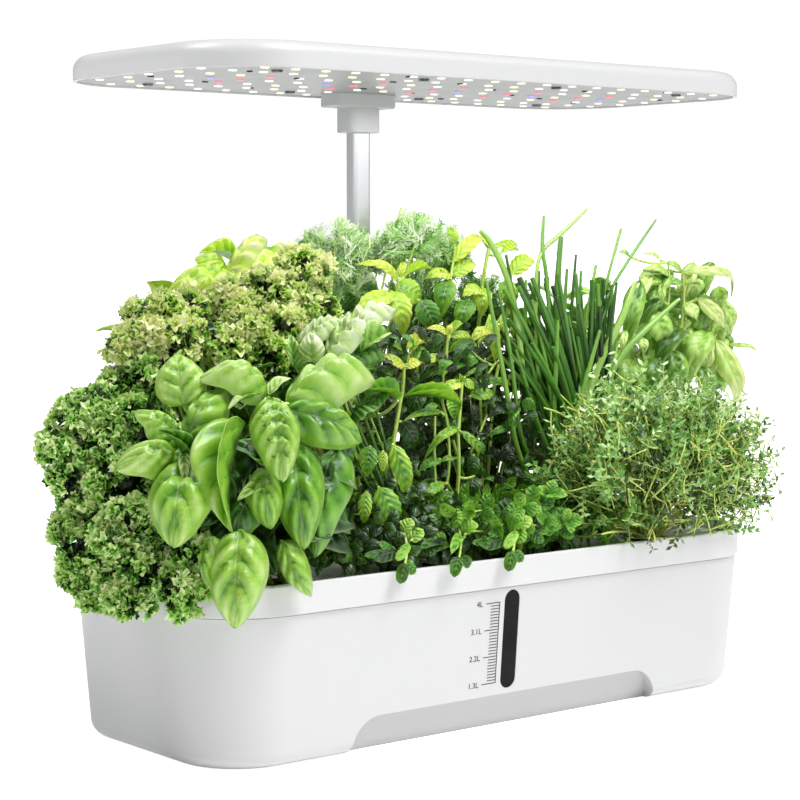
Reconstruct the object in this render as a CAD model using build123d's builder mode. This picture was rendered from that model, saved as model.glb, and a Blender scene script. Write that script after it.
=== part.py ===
from build123d import *
import os
from math import radians, tan

# Countertop hydroponic garden: a moulded water tub, a planting deck with twelve net
# baskets, a circulation pump, and an LED lamp on a telescopic pole.
# X runs along the tub to the right, Y to the back and Z up. The origin is the centre
# of the tub's flat underside. All sizes are in millimetres and degrees.

# --- rim and planting deck ---
rim_length = 400.0
rim_width = 164.0
rim_corner = 46.0
rim_wall = 2.6
rim_low = 78.3
rim_top = 94.0
rim_edge_round = 1.2
deck_seat = 85.5  # underside of the deck, where it rests on the tub's lip
deck_plate = 2.5

# --- tub ---
rim_reveal = 1.4  # how far the rim stands out from the tub wall
seam_gap = 0.5  # shadow line between the rim and the tub's shoulder
tub_taper = 4.7
tub_wall = 2.5
tub_floor = 3.0
tub_base_round = 8.0
lip_wall = 2.0
lip_clearance = 0.4
lip_root = 4.0  # how far the lip reaches down the inside of the tub wall

# --- hand recess at the foot of the front wall ---
recess_inset = 90.0  # from each end of the rim
recess_height = 18.7
recess_corner = 18.0
recess_depth = 3.0
recess_foot_inset = 16.5  # how far back the recess is at the underside

# --- water window ---
window_x = -5.0
window_width = 10.8
window_low = 21.7
window_high = 76.2
window_setback = 0.4

# --- feet ---
foot_radius = 7.0
foot_thick = 1.5
foot_inset_x = 50.0  # from each end of the rim
foot_inset_y = 40.0

# --- pods ---
pod_columns = 4
pod_rows = 3
pod_pitch_share = 0.22  # pitch of the columns, against the rim's length
pod_pitch_y = 46.0
socket_radius = 16.2
socket_wall = 2.0
socket_depth = 8.0
seat_radius = 19.6
seat_depth = 1.0
basket_clearance = 0.4
basket_depth = 48.0
basket_foot_radius = 12.0
basket_wall = 1.2
basket_flange_thick = 1.6
basket_flange_clearance = 0.5
basket_slots = 8
basket_slot_width = 3.4
basket_slot_low = 7.0  # from the basket's foot
basket_slot_high = 36.0
basket_drain_radius = 3.0
sponge_clearance = 0.2

# --- fill port and its flap ---
port_inset = 28.0  # from the rim's right end
port_radius = 9.5
port_wall = 2.0
port_depth = 10.0
flap_radius = 12.5
flap_thick = 2.0
hinge_inset = 9.5  # from the rim's right end
hinge_rise = 3.2
trunnion_radius = 1.2
knuckle_radius = 2.2
knuckle_half = 4.5
hinge_clearance = 0.06
ear_gap = 0.3
ear_thick = 2.4

# --- pole ---
pole_inset = 20.3  # from the rim's back
inner_pole_x = 13.0
inner_pole_y = 9.5
inner_pole_corner = 3.0
inner_pole_wall = 1.2
inner_pole_foot = 155.0
outer_pole_wall = 1.5
pole_gap = 0.5
outer_pole_top = 234.0
collar_top = 240.0
collar_height = 16.0
collar_wall = 2.4
collar_clearance = 0.15
pole_fit = 0.1
base_length = 36.0
base_width = 26.0
base_height = 22.0
base_corner = 5.0
base_round = 2.0

# --- power inlet in the back of the pole base ---
inlet_radius = 4.2
inlet_depth = 5.6
inlet_flange_radius = 5.4
inlet_flange_thick = 0.8
inlet_bore = 2.75
inlet_pin = 0.9
inlet_rise = 13.0

# --- controls ---
control_inset = 22.0  # from the rim's back
control_gap = 4.8  # from the sockets on both sides
control_width = 24.0
control_height = 10.0
control_wall = 1.5
button_spacing = 18.0
button_radius = 4.5
button_clearance = 0.3
button_rise = 1.2
button_flange = 1.3
button_flange_thick = 1.2
button_travel = 0.9
button_gap = 0.1
board_thick = 1.6
board_clearance = 0.4
switch_radius = 2.0
switch_height = 1.6
post_radius = 2.0
post_inset = 3.5

# --- pump ---
pump_y = 23.0
pump_length = 36.0
pump_width = 30.0
pump_height = 26.0
pump_round = 3.0
pump_floor_gap = 0.5
filter_thick = 6.0
filter_margin = 3.0
filter_slots = 7
filter_slot_width = 2.0
filter_wall = 1.4
outlet_radius = 5.0
outlet_bore = 3.4
outlet_flange_radius = 8.0
outlet_flange_thick = 2.0

# --- lamp ---
lamp_length = 386.0
lamp_width = 176.0
lamp_corner = 47.5
lamp_low = 348.0
lamp_thick = 13.8
lamp_back = 30.2  # how far the lamp reaches behind the pole
lamp_top_round = 8.0
lamp_wall = 2.0
lamp_board_inset = 0.8
lamp_board_gap = 0.3
lamp_board_thick = 1.6
led_length = 3.5
led_width = 2.8
led_height = 0.6
led_columns = 20
led_rows = 7
led_inset_x = 14.4  # from the lamp's ends
led_inset_y = 16.0
led_stagger = 2.6
led_edge_margin = 5.0
red_columns = (3, 7, 10, 13, 16)
blue_columns = (2, 6, 11, 14, 17)
boss_radius = 3.4
boss_inset_x = 50.5  # from the lamp's ends
boss_inset_y = 28.0
boss_columns = 4
boss_rows = 2
screw_radius = 1.4
screw_clearance = 0.1
screw_head_radius = 2.9
screw_head_height = 1.2
screw_length = 7.0
bracket_screw_spacing = 31.0
bracket_web = 2.0  # plate left above each bracket screw's head

# --- lamp bracket ---
bracket_length = 42.0
bracket_width = 20.4
bracket_thick = 7.8
bracket_corner = 3.0
bracket_round = 1.2
socket_length = 22.0
socket_width = 17.0
socket_corner = 4.0
socket_drop = 14.3
socket_bore_depth = 16.0

# --- plants ---
foliage_unit = 1.0  # every size given to a plant is in this unit
hang_side = 5.0  # foliage that hangs past the rim keeps this far off its end
hang_front = 3.5
leaf_gap = 1.0
stem_radius = 8.0
crown_base = 18.0  # height above the deck where a crown starts to spread
crown_corner = 0.85  # rounding of a crown's outline, against its narrower half
# a plain crown and a lobe, from low to high: share of its height, share of its widest size
crown_profile = ((0.0, 0.82), (0.35, 1.0), (0.75, 0.88), (1.0, 0.5))
lobe_profile = ((0.0, 0.75), (0.5, 1.0), (1.0, 0.75))

# --- worked out from the sizes above ---
deck_top = deck_seat + deck_plate
shoulder = rim_low - seam_gap
tub_length = rim_length - 2 * rim_reveal
tub_width = rim_width - 2 * rim_reveal
tub_corner = rim_corner - rim_reveal
lip_inset = rim_wall + lip_clearance
seat_floor = deck_top - seat_depth
basket_foot = seat_floor - basket_depth
basket_radius = socket_radius - basket_clearance
sponge_top = seat_floor + basket_flange_thick - sponge_clearance
outer_pole_x = inner_pole_x + 2 * (pole_gap + outer_pole_wall)
outer_pole_y = inner_pole_y + 2 * (pole_gap + outer_pole_wall)
outer_pole_corner = inner_pole_corner + pole_gap + outer_pole_wall
board_low = lamp_low + lamp_board_inset
board_high = board_low + lamp_board_thick
bracket_low = board_low - bracket_thick
hinge_z = deck_top + hinge_rise
recess_width = rim_length - 2 * recess_inset
foot_spacing_x = rim_length - 2 * foot_inset_x
foot_spacing_y = rim_width - 2 * foot_inset_y
pod_pitch_x = pod_pitch_share * rim_length
port_x = rim_length / 2 - port_inset
hinge_x = rim_length / 2 - hinge_inset
pole_y = rim_width / 2 - pole_inset
lamp_y = pole_y + lamp_back - lamp_width / 2
control_x = pod_pitch_x
control_y = rim_width / 2 - control_inset
control_length = pod_pitch_x - 2 * (socket_radius + socket_wall + control_gap)
led_pitch_x = (lamp_length - 2 * led_inset_x) / (led_columns - 1)
led_pitch_y = (lamp_width - 2 * led_inset_y) / (led_rows - 1)
boss_spacing_x = (lamp_length - 2 * boss_inset_x) / (boss_columns - 1)
boss_spacing_y = lamp_width - 2 * boss_inset_y
pod_x = [(i - (pod_columns - 1) / 2) * pod_pitch_x for i in range(pod_columns)]
pod_y = [(i - (pod_rows - 1) / 2) * pod_pitch_y for i in range(pod_rows)]
cell_x = pod_pitch_x / 2 - leaf_gap
cell_y = pod_pitch_y / 2 - leaf_gap


def outline(length, width, corner, inset=0.0):
    """A rounded rectangle, every side moved in by the inset."""
    return RectangleRounded(length - 2 * inset, width - 2 * inset, corner - inset)


def wall_inset(z):
    """How far the tub wall has tapered in from its shoulder at a height."""
    return (shoulder - z) * tan(radians(tub_taper))


def save(piece, name):
    """Name a finished piece and write it."""
    piece.label = name
    export_step(piece, f"parts/{name}.step")


os.makedirs("parts", exist_ok=True)


# --- tub: a tapered form, hollowed with the same taper, with a lip for the deck ---


def tapered_form(z_low, inset, foot_round):
    """The tub's tapered form from a height up to its shoulder, moved in by the inset."""
    with BuildPart() as form:
        with BuildSketch(Plane.XY.offset(z_low)):
            outline(tub_length, tub_width, tub_corner, inset + wall_inset(z_low))
        with BuildSketch(Plane.XY.offset(shoulder)):
            outline(tub_length, tub_width, tub_corner, inset)
        loft(ruled=True)
        fillet(form.edges().group_by(Axis.Z)[0], foot_round)
    return form.part


def recess_form(grow):
    """The hand recess at the foot of the front wall, grown by a wall's thickness."""
    front_y = -rim_width / 2
    head_y = front_y + rim_reveal + wall_inset(recess_height) + recess_depth
    with BuildPart() as form:
        with BuildSketch(Plane.XZ.offset(-front_y)):
            with Locations((0, (recess_height + grow) / 2)):
                block = Rectangle(recess_width + 2 * grow, recess_height + grow)
            fillet(block.vertices().group_by(Axis.Y)[-1], recess_corner)
        extrude(amount=front_y)
        with BuildSketch(Plane.YZ):
            with BuildLine():
                Polyline(
                    (front_y + recess_foot_inset + grow, 0),
                    (head_y + grow, recess_height + grow),
                    (front_y, recess_height + grow),
                    (front_y, 0),
                    close=True,
                )
            make_face()
        extrude(amount=recess_width / 2 + grow, both=True, mode=Mode.INTERSECT)
    return form.part


tub_form = tapered_form(0, 0, tub_base_round)
cavity_form = tapered_form(tub_floor, tub_wall, tub_base_round - tub_wall)

with BuildPart() as window_slot:
    with BuildSketch(Plane.XZ.offset(rim_width / 2)):
        with Locations((window_x, (window_low + window_high) / 2)):
            SlotOverall(window_high - window_low, window_width, rotation=90)
    extrude(amount=-rim_width / 4)

with BuildPart() as feet:
    with BuildSketch():
        with GridLocations(foot_spacing_x, foot_spacing_y, 2, 2):
            Circle(foot_radius)
    extrude(amount=foot_thick)
save(feet.part, "feet")

with BuildPart() as recess_wall:
    add(tub_form)
    add(recess_form(tub_wall), mode=Mode.INTERSECT)

with BuildPart() as tub:
    add(tub_form)
    add(cavity_form, mode=Mode.SUBTRACT)
    with BuildSketch(Plane.XY.offset(shoulder - lip_root)):
        outline(rim_length, rim_width, rim_corner, lip_inset)
    extrude(amount=deck_seat - shoulder + lip_root)
    with BuildSketch(Plane.XY.offset(shoulder - lip_root)):
        outline(rim_length, rim_width, rim_corner, lip_inset + lip_wall)
    extrude(amount=deck_seat - shoulder + lip_root, mode=Mode.SUBTRACT)
    add(recess_wall.part)
    add(recess_form(0), mode=Mode.SUBTRACT)
    add(window_slot.part, mode=Mode.SUBTRACT)
    add(feet.part, mode=Mode.SUBTRACT)
save(tub.part, "tub")

# --- water window: a clear strip set just behind the face of the wall ---

with BuildPart() as water_window:
    with Locations((0, window_setback, 0)):
        add(tub_form)
    add(window_slot.part, mode=Mode.INTERSECT)
    add(cavity_form, mode=Mode.SUBTRACT)
save(water_window.part, "water_window")

# --- deck: rim band, plate with seated and skirted pod sockets, port and hinge ears ---

with BuildPart() as deck:
    with BuildSketch(Plane.XY.offset(rim_low)):
        outline(rim_length, rim_width, rim_corner)
    extrude(amount=rim_top - rim_low)
    fillet(deck.edges().group_by(Axis.Z)[-1], rim_edge_round)
    with BuildSketch(Plane.XY.offset(deck_top)):
        outline(rim_length, rim_width, rim_corner, rim_wall)
    extrude(amount=rim_top - deck_top, mode=Mode.SUBTRACT)
    with BuildSketch(Plane.XY.offset(rim_low)):
        outline(rim_length, rim_width, rim_corner, rim_wall)
    extrude(amount=deck_seat - rim_low, mode=Mode.SUBTRACT)
    with BuildSketch(Plane.XY.offset(deck_seat)):
        with GridLocations(pod_pitch_x, pod_pitch_y, pod_columns, pod_rows):
            Circle(socket_radius + socket_wall)
    extrude(amount=-socket_depth)
    with BuildSketch(Plane.XY.offset(deck_seat)):
        with Locations((port_x, 0)):
            Circle(port_radius + port_wall)
    extrude(amount=-port_depth)
    with Locations((0, 0, deck_top)):
        with GridLocations(pod_pitch_x, pod_pitch_y, pod_columns, pod_rows):
            CounterBoreHole(
                socket_radius, seat_radius, seat_depth, deck_plate + socket_depth
            )
    with Locations((port_x, 0, deck_top)):
        Hole(port_radius, deck_plate + port_depth)
    with Locations((control_x, control_y, deck_top)):
        with GridLocations(button_spacing, 0, 2, 1):
            Hole(button_radius + button_clearance, deck_plate)
    with BuildSketch(Plane.XZ):
        with Locations((hinge_x, hinge_z)):
            Circle(knuckle_radius)
        with Locations((hinge_x, (deck_top + hinge_z) / 2)):
            Rectangle(2 * knuckle_radius, hinge_z - deck_top)
    extrude(amount=knuckle_half + ear_gap + ear_thick, both=True)
    with BuildSketch(Plane.XZ):
        with Locations((hinge_x, deck_top + hinge_rise)):
            Rectangle(4 * knuckle_radius, 2 * hinge_rise)
    extrude(amount=knuckle_half + ear_gap, both=True, mode=Mode.SUBTRACT)
    with BuildSketch(Plane.XZ):
        with Locations((hinge_x, hinge_z)):
            Circle(trunnion_radius + hinge_clearance)
    extrude(
        amount=knuckle_half + ear_gap + ear_thick, both=True, mode=Mode.SUBTRACT
    )
save(deck.part, "deck")

# --- fill flap: a disc on an arm, with trunnions moulded on its knuckle ---

with BuildPart() as fill_cap:
    with BuildSketch(Plane.XY.offset(deck_top)):
        with Locations((port_x, 0)):
            Circle(flap_radius)
        with Locations(((port_x + hinge_x) / 2, 0)):
            Rectangle(hinge_x - port_x, 2 * knuckle_half)
    extrude(amount=flap_thick)
    with BuildSketch(Plane.XZ):
        with Locations((hinge_x, hinge_z)):
            Circle(knuckle_radius)
    extrude(amount=knuckle_half, both=True)
    with BuildSketch(Plane.XZ):
        with Locations((hinge_x, hinge_z)):
            Circle(trunnion_radius)
    extrude(amount=knuckle_half + ear_gap + ear_thick, both=True)
save(fill_cap.part, "fill_cap")

# --- pole base, outer pole, collar and power inlet ---

with BuildPart() as pole_base:
    with BuildSketch(Plane.XY.offset(deck_top)):
        with Locations((0, pole_y)):
            RectangleRounded(base_length, base_width, base_corner)
    extrude(amount=base_height)
    fillet(pole_base.edges().group_by(Axis.Z)[-1], base_round)
    with BuildSketch(Plane.XY.offset(deck_top)):
        with Locations((0, pole_y)):
            outline(outer_pole_x, outer_pole_y, outer_pole_corner, -pole_fit)
    extrude(amount=base_height, mode=Mode.SUBTRACT)
    with BuildSketch(Plane.XZ.offset(-pole_y - base_width / 2)):
        with Locations((0, deck_top + inlet_rise)):
            Circle(inlet_radius)
    extrude(amount=inlet_depth, mode=Mode.SUBTRACT)
save(pole_base.part, "pole_base")

with BuildPart() as power_inlet:
    with BuildSketch(Plane.XZ.offset(-pole_y - base_width / 2)):
        with Locations((0, deck_top + inlet_rise)):
            Circle(inlet_radius)
    extrude(amount=inlet_depth)
    with BuildSketch(Plane.XZ.offset(-pole_y - base_width / 2)):
        with Locations((0, deck_top + inlet_rise)):
            Circle(inlet_flange_radius)
    extrude(amount=-inlet_flange_thick)
    with BuildSketch(Plane.XZ.offset(-pole_y - base_width / 2 - inlet_flange_thick)):
        with Locations((0, deck_top + inlet_rise)):
            Circle(inlet_bore)
            Circle(inlet_pin, mode=Mode.SUBTRACT)
    extrude(amount=inlet_depth, mode=Mode.SUBTRACT)
save(power_inlet.part, "power_inlet")

with BuildPart() as outer_pole:
    with BuildSketch(Plane.XY.offset(deck_top)):
        with Locations((0, pole_y)):
            outline(outer_pole_x, outer_pole_y, outer_pole_corner)
    extrude(amount=outer_pole_top - deck_top)
    with BuildSketch(Plane.XY.offset(deck_top)):
        with Locations((0, pole_y)):
            outline(outer_pole_x, outer_pole_y, outer_pole_corner, outer_pole_wall)
    extrude(amount=outer_pole_top - deck_top, mode=Mode.SUBTRACT)
save(outer_pole.part, "outer_pole")

with BuildPart() as pole_collar:
    with BuildSketch(Plane.XY.offset(collar_top)):
        with Locations((0, pole_y)):
            outline(outer_pole_x, outer_pole_y, outer_pole_corner, -collar_wall)
    extrude(amount=-collar_height)
    fillet(pole_collar.edges().group_by(Axis.Z)[-1], collar_wall / 2)
    with BuildSketch(Plane.XY.offset(outer_pole_top)):
        with Locations((0, pole_y)):
            outline(outer_pole_x, outer_pole_y, outer_pole_corner)
    extrude(amount=-collar_height, mode=Mode.SUBTRACT)
    with BuildSketch(Plane.XY.offset(collar_top)):
        with Locations((0, pole_y)):
            outline(inner_pole_x, inner_pole_y, inner_pole_corner, -collar_clearance)
    extrude(amount=-collar_height, mode=Mode.SUBTRACT)
save(pole_collar.part, "pole_collar")

# --- controls: two push buttons over a board in a sealed housing under the deck ---

button_foot = deck_seat - button_flange_thick
switch_top = button_foot - button_travel - button_gap
board_top = switch_top - switch_height
housing_low = deck_seat - control_height

for side, name in ((-1, "light_button"), (1, "pump_button")):
    with BuildPart() as button:
        with BuildSketch(Plane.XY.offset(button_foot)):
            with Locations((control_x + side * button_spacing / 2, control_y)):
                Circle(button_radius)
        extrude(amount=deck_top + button_rise - button_foot)
        fillet(button.edges().group_by(Axis.Z)[-1], button_rise / 2)
        with BuildSketch(Plane.XY.offset(button_foot)):
            with Locations((control_x + side * button_spacing / 2, control_y)):
                Circle(button_radius + button_flange)
        extrude(amount=button_flange_thick)
    save(button.part, name)

with BuildPart() as control_housing:
    with BuildSketch(Plane.XY.offset(housing_low)):
        with Locations((control_x, control_y)):
            RectangleRounded(control_length, control_width, 2 * control_wall)
    extrude(amount=control_height)
    with BuildSketch(Plane.XY.offset(housing_low + control_wall)):
        with Locations((control_x, control_y)):
            outline(control_length, control_width, 2 * control_wall, control_wall)
    extrude(amount=control_height, mode=Mode.SUBTRACT)
    with BuildSketch(Plane.XY.offset(housing_low)):
        with Locations((control_x, control_y)):
            with GridLocations(
                control_length - 2 * (control_wall + post_inset),
                control_width - 2 * (control_wall + post_inset),
                2,
                2,
            ):
                Circle(post_radius)
    extrude(amount=board_top - board_thick - housing_low)
save(control_housing.part, "control_housing")

with BuildPart() as control_board:
    with BuildSketch(Plane.XY.offset(board_top - board_thick)):
        with Locations((control_x, control_y)):
            outline(
                control_length,
                control_width,
                2 * control_wall,
                control_wall + board_clearance,
            )
    extrude(amount=board_thick)
    with BuildSketch(Plane.XY.offset(board_top)):
        with Locations((control_x, control_y)):
            with GridLocations(button_spacing, 0, 2, 1):
                Circle(switch_radius)
    extrude(amount=switch_height)
save(control_board.part, "control_board")

# --- pump: body, slotted filter cage at its front, and riser to the deck ---

pump_low = tub_floor + pump_floor_gap
pump_front = pump_y - pump_width / 2
cage_length = pump_length - 2 * filter_margin
cage_height = pump_height - 2 * filter_margin
cage_z = pump_low + pump_height / 2

with BuildPart() as pump_body:
    with BuildSketch(Plane.XY.offset(pump_low)):
        with Locations((0, pump_y)):
            Rectangle(pump_length, pump_width)
    extrude(amount=pump_height)
    fillet(pump_body.edges().filter_by(Axis.Z), pump_round)
    fillet(pump_body.edges().group_by(Axis.Z)[-1], pump_round / 2)
save(pump_body.part, "pump_body")

with BuildPart() as pump_filter:
    with BuildSketch(Plane.XZ.offset(-pump_front)):
        with Locations((0, cage_z)):
            Rectangle(cage_length, cage_height)
    extrude(amount=filter_thick)
    fillet(pump_filter.edges().filter_by(Axis.Y), filter_wall)
    with BuildSketch(Plane.XZ.offset(-pump_front)):
        with Locations((0, cage_z)):
            Rectangle(cage_length - 2 * filter_wall, cage_height - 2 * filter_wall)
    extrude(amount=filter_thick - filter_wall, mode=Mode.SUBTRACT)
    with BuildSketch(Plane.XZ.offset(-pump_front + filter_thick)):
        with Locations((0, cage_z)):
            with GridLocations(cage_length / filter_slots, 0, filter_slots, 1):
                Rectangle(filter_slot_width, cage_height - 4 * filter_wall)
    extrude(amount=-filter_thick, mode=Mode.SUBTRACT)
save(pump_filter.part, "pump_filter")

with BuildPart() as pump_outlet:
    with BuildSketch(Plane.XY.offset(pump_low + pump_height)):
        with Locations((0, pump_y)):
            Circle(outlet_radius)
    extrude(amount=deck_seat - pump_low - pump_height)
    with BuildSketch(Plane.XY.offset(deck_seat)):
        with Locations((0, pump_y)):
            Circle(outlet_flange_radius)
    extrude(amount=-outlet_flange_thick)
    with BuildSketch(Plane.XY.offset(deck_seat)):
        with Locations((0, pump_y)):
            Circle(outlet_bore)
    extrude(amount=pump_low + pump_height - deck_seat, mode=Mode.SUBTRACT)
save(pump_outlet.part, "pump_outlet")

# --- screws: one pan-head form, its seat at z = 0 and its shank up ---

with BuildPart() as screw_form:
    with BuildSketch():
        Circle(screw_head_radius)
    extrude(amount=-screw_head_height)
    fillet(screw_form.edges().group_by(Axis.Z)[0], screw_head_height / 2)
    with BuildSketch():
        Circle(screw_radius)
    extrude(amount=screw_length)

# --- lamp: filleted shell with bosses, recessed board, LEDs and screws ---

boss_top = lamp_low + lamp_thick - lamp_wall

with BuildPart() as screw_places:
    with Locations((0, lamp_y, board_low)):
        with GridLocations(boss_spacing_x, boss_spacing_y, boss_columns, boss_rows):
            add(screw_form.part)
    with Locations((0, pole_y, board_low - bracket_web)):
        with GridLocations(bracket_screw_spacing, 0, 2, 1):
            add(screw_form.part)
save(screw_places.part, "lamp_screws")

with BuildPart() as lamp_cavity:
    with BuildSketch(Plane.XY.offset(lamp_low)):
        with Locations((0, lamp_y)):
            outline(lamp_length, lamp_width, lamp_corner, lamp_wall)
    extrude(amount=boss_top - lamp_low)
    fillet(lamp_cavity.edges().group_by(Axis.Z)[-1], lamp_top_round - lamp_wall)

with BuildPart() as lamp_shell:
    with BuildSketch(Plane.XY.offset(lamp_low)):
        with Locations((0, lamp_y)):
            outline(lamp_length, lamp_width, lamp_corner)
    extrude(amount=lamp_thick)
    fillet(lamp_shell.edges().group_by(Axis.Z)[-1], lamp_top_round)
    add(lamp_cavity.part, mode=Mode.SUBTRACT)
    with BuildSketch(Plane.XY.offset(board_high)):
        with Locations((0, lamp_y)):
            with GridLocations(
                boss_spacing_x, boss_spacing_y, boss_columns, boss_rows
            ):
                Circle(boss_radius)
                Circle(screw_radius + screw_clearance, mode=Mode.SUBTRACT)
        with Locations((0, pole_y)):
            with GridLocations(bracket_screw_spacing, 0, 2, 1):
                Circle(boss_radius)
                Circle(screw_radius + screw_clearance, mode=Mode.SUBTRACT)
    extrude(amount=boss_top - board_high)
save(lamp_shell.part, "lamp_shell")

with BuildPart() as led_board:
    with BuildSketch(Plane.XY.offset(board_low)):
        with Locations((0, lamp_y)):
            outline(lamp_length, lamp_width, lamp_corner, lamp_wall + lamp_board_gap)
            with GridLocations(
                boss_spacing_x, boss_spacing_y, boss_columns, boss_rows
            ):
                Circle(screw_radius + screw_clearance, mode=Mode.SUBTRACT)
        with Locations((0, pole_y)):
            with GridLocations(bracket_screw_spacing, 0, 2, 1):
                Circle(screw_radius + screw_clearance, mode=Mode.SUBTRACT)
    extrude(amount=lamp_board_thick)
save(led_board.part, "led_board")


def led_colour(column, row):
    """Red triplets and single blues in the middle rows, and white elsewhere."""
    off_middle = abs(row - (led_rows - 1) / 2)
    if column in red_columns and off_middle <= 1:
        return "red"
    if column in blue_columns and off_middle == 0:
        return "blue"
    return "white"


def led_fits(x, y):
    """Whether an LED is on the board, clear of its round corners and the bracket."""
    past_x = abs(x) - (lamp_length / 2 - lamp_corner)
    past_y = abs(y - lamp_y) - (lamp_width / 2 - lamp_corner)
    if past_x > 0 and past_y > 0:
        if (past_x**2 + past_y**2) ** 0.5 > lamp_corner - led_edge_margin:
            return False
    by_x = abs(x) < (bracket_length + led_length) / 2 + led_height
    by_y = abs(y - pole_y) < (bracket_width + led_width) / 2 + led_height
    return not (by_x and by_y)


led_places = {"white": [], "red": [], "blue": []}
for column in range(led_columns):
    for row in range(led_rows):
        stagger = led_stagger / 2 * (-1) ** row
        led_x = (column - (led_columns - 1) / 2) * led_pitch_x + stagger
        led_y = lamp_y + (row - (led_rows - 1) / 2) * led_pitch_y
        if led_fits(led_x, led_y):
            led_places[led_colour(column, row)].append((led_x, led_y))

for colour, places in led_places.items():
    with BuildPart() as leds:
        with BuildSketch(Plane.XY.offset(board_low)):
            with Locations(*places):
                Rectangle(led_length, led_width)
        extrude(amount=-led_height)
    save(leds.part, f"{colour}_leds")

# --- lamp bracket: rounded plate on a socket for the inner pole ---

with BuildPart() as lamp_bracket:
    with BuildSketch(Plane.XY.offset(bracket_low)):
        with Locations((0, pole_y)):
            RectangleRounded(bracket_length, bracket_width, bracket_corner)
    extrude(amount=bracket_thick)
    fillet(lamp_bracket.edges().group_by(Axis.Z)[0], bracket_round)
    with BuildSketch(Plane.XY.offset(bracket_low)):
        with Locations((0, pole_y)):
            RectangleRounded(socket_length, socket_width, socket_corner)
    extrude(amount=-socket_drop)
    fillet(lamp_bracket.edges().group_by(Axis.Z)[0], bracket_round / 2)
    with BuildSketch(Plane.XY.offset(bracket_low - socket_drop)):
        with Locations((0, pole_y)):
            outline(inner_pole_x, inner_pole_y, inner_pole_corner, -pole_fit)
    extrude(amount=socket_bore_depth, mode=Mode.SUBTRACT)
    with Locations((0, pole_y, board_low - bracket_web)):
        with GridLocations(bracket_screw_spacing, 0, 2, 1):
            Hole(screw_radius + screw_clearance, bracket_web)
    with BuildSketch(Plane.XY.offset(board_low - bracket_web)):
        with Locations((0, pole_y)):
            with GridLocations(bracket_screw_spacing, 0, 2, 1):
                Circle(screw_head_radius + screw_clearance)
    extrude(amount=-bracket_thick, mode=Mode.SUBTRACT)
save(lamp_bracket.part, "lamp_bracket")

inner_pole_top = bracket_low - socket_drop + socket_bore_depth

with BuildPart() as inner_pole:
    with BuildSketch(Plane.XY.offset(inner_pole_foot)):
        with Locations((0, pole_y)):
            outline(inner_pole_x, inner_pole_y, inner_pole_corner)
    extrude(amount=inner_pole_top - inner_pole_foot)
    with BuildSketch(Plane.XY.offset(inner_pole_foot)):
        with Locations((0, pole_y)):
            outline(inner_pole_x, inner_pole_y, inner_pole_corner, inner_pole_wall)
    extrude(amount=inner_pole_top - inner_pole_foot, mode=Mode.SUBTRACT)
save(inner_pole.part, "inner_pole")

# --- pods: flanged net baskets, each with a grow sponge that fills it ---

slot_height = basket_slot_high - basket_slot_low

with BuildPart() as slot_form:
    with BuildSketch(Plane.YZ.offset(basket_foot_radius / 2)):
        with Locations((0, basket_slot_low + slot_height / 2)):
            Rectangle(basket_slot_width, slot_height)
    extrude(amount=seat_radius)

with BuildPart() as basket_form:
    with BuildSketch(Plane.XZ):
        with BuildLine():
            Polyline(
                (0, 0),
                (basket_foot_radius, 0),
                (basket_radius, basket_depth),
                (seat_radius - basket_flange_clearance, basket_depth),
                (
                    seat_radius - basket_flange_clearance,
                    basket_depth + basket_flange_thick,
                ),
                (basket_radius - basket_wall, basket_depth + basket_flange_thick),
                (basket_foot_radius - basket_wall, basket_wall),
                (0, basket_wall),
                close=True,
            )
        make_face()
    revolve(axis=Axis.Z)
    with PolarLocations(0, basket_slots):
        add(slot_form.part, mode=Mode.SUBTRACT)
    Hole(basket_drain_radius, basket_wall)

with BuildPart() as sponge_form:
    with Locations((0, 0, basket_wall)):
        Cone(
            basket_foot_radius - basket_wall - sponge_clearance,
            basket_radius - basket_wall - sponge_clearance,
            basket_depth + basket_flange_thick - basket_wall - sponge_clearance,
            align=(Align.CENTER, Align.CENTER, Align.MIN),
        )

for column, x in enumerate(pod_x, 1):
    for row, y in enumerate(pod_y, 1):
        with BuildPart() as basket:
            with Locations((x, y, basket_foot)):
                add(basket_form.part)
        save(basket.part, f"basket_{row}{column}")
        with BuildPart() as sponge:
            with Locations((x, y, basket_foot)):
                add(sponge_form.part)
        save(sponge.part, f"sponge_{row}{column}")

# --- plants: each crown keeps to its own cell, so that its pod lifts straight out ---


def grown(size):
    """A size of foliage, as a length."""
    return size * foliage_unit


def mound(left, right, front, back, high):
    """The rings of a crown that spreads from its stem and rounds over to its top.

    It reaches left, right, front and back from its pod, and each ring is a height with those four.
    """
    mid_x, mid_y = (right - left) / 2, (back - front) / 2
    half_x, half_y = (left + right) / 2, (front + back) / 2
    low = deck_top + crown_base
    return [
        (
            low + height * (high - low),
            size * half_x - mid_x,
            size * half_x + mid_x,
            size * half_y - mid_y,
            size * half_y + mid_y,
        )
        for height, size in crown_profile
    ]


def lobe(low_x, high_x, low_y, high_y, low, high):
    """Foliage that spreads past the rim: each level is a height with its four sides."""
    mid_x, mid_y = (low_x + high_x) / 2, (low_y + high_y) / 2
    half_x, half_y = (high_x - low_x) / 2, (high_y - low_y) / 2
    return [
        (
            low + height * (high - low),
            mid_x - size * half_x,
            mid_x + size * half_x,
            mid_y - size * half_y,
            mid_y + size * half_y,
        )
        for height, size in lobe_profile
    ]


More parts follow.
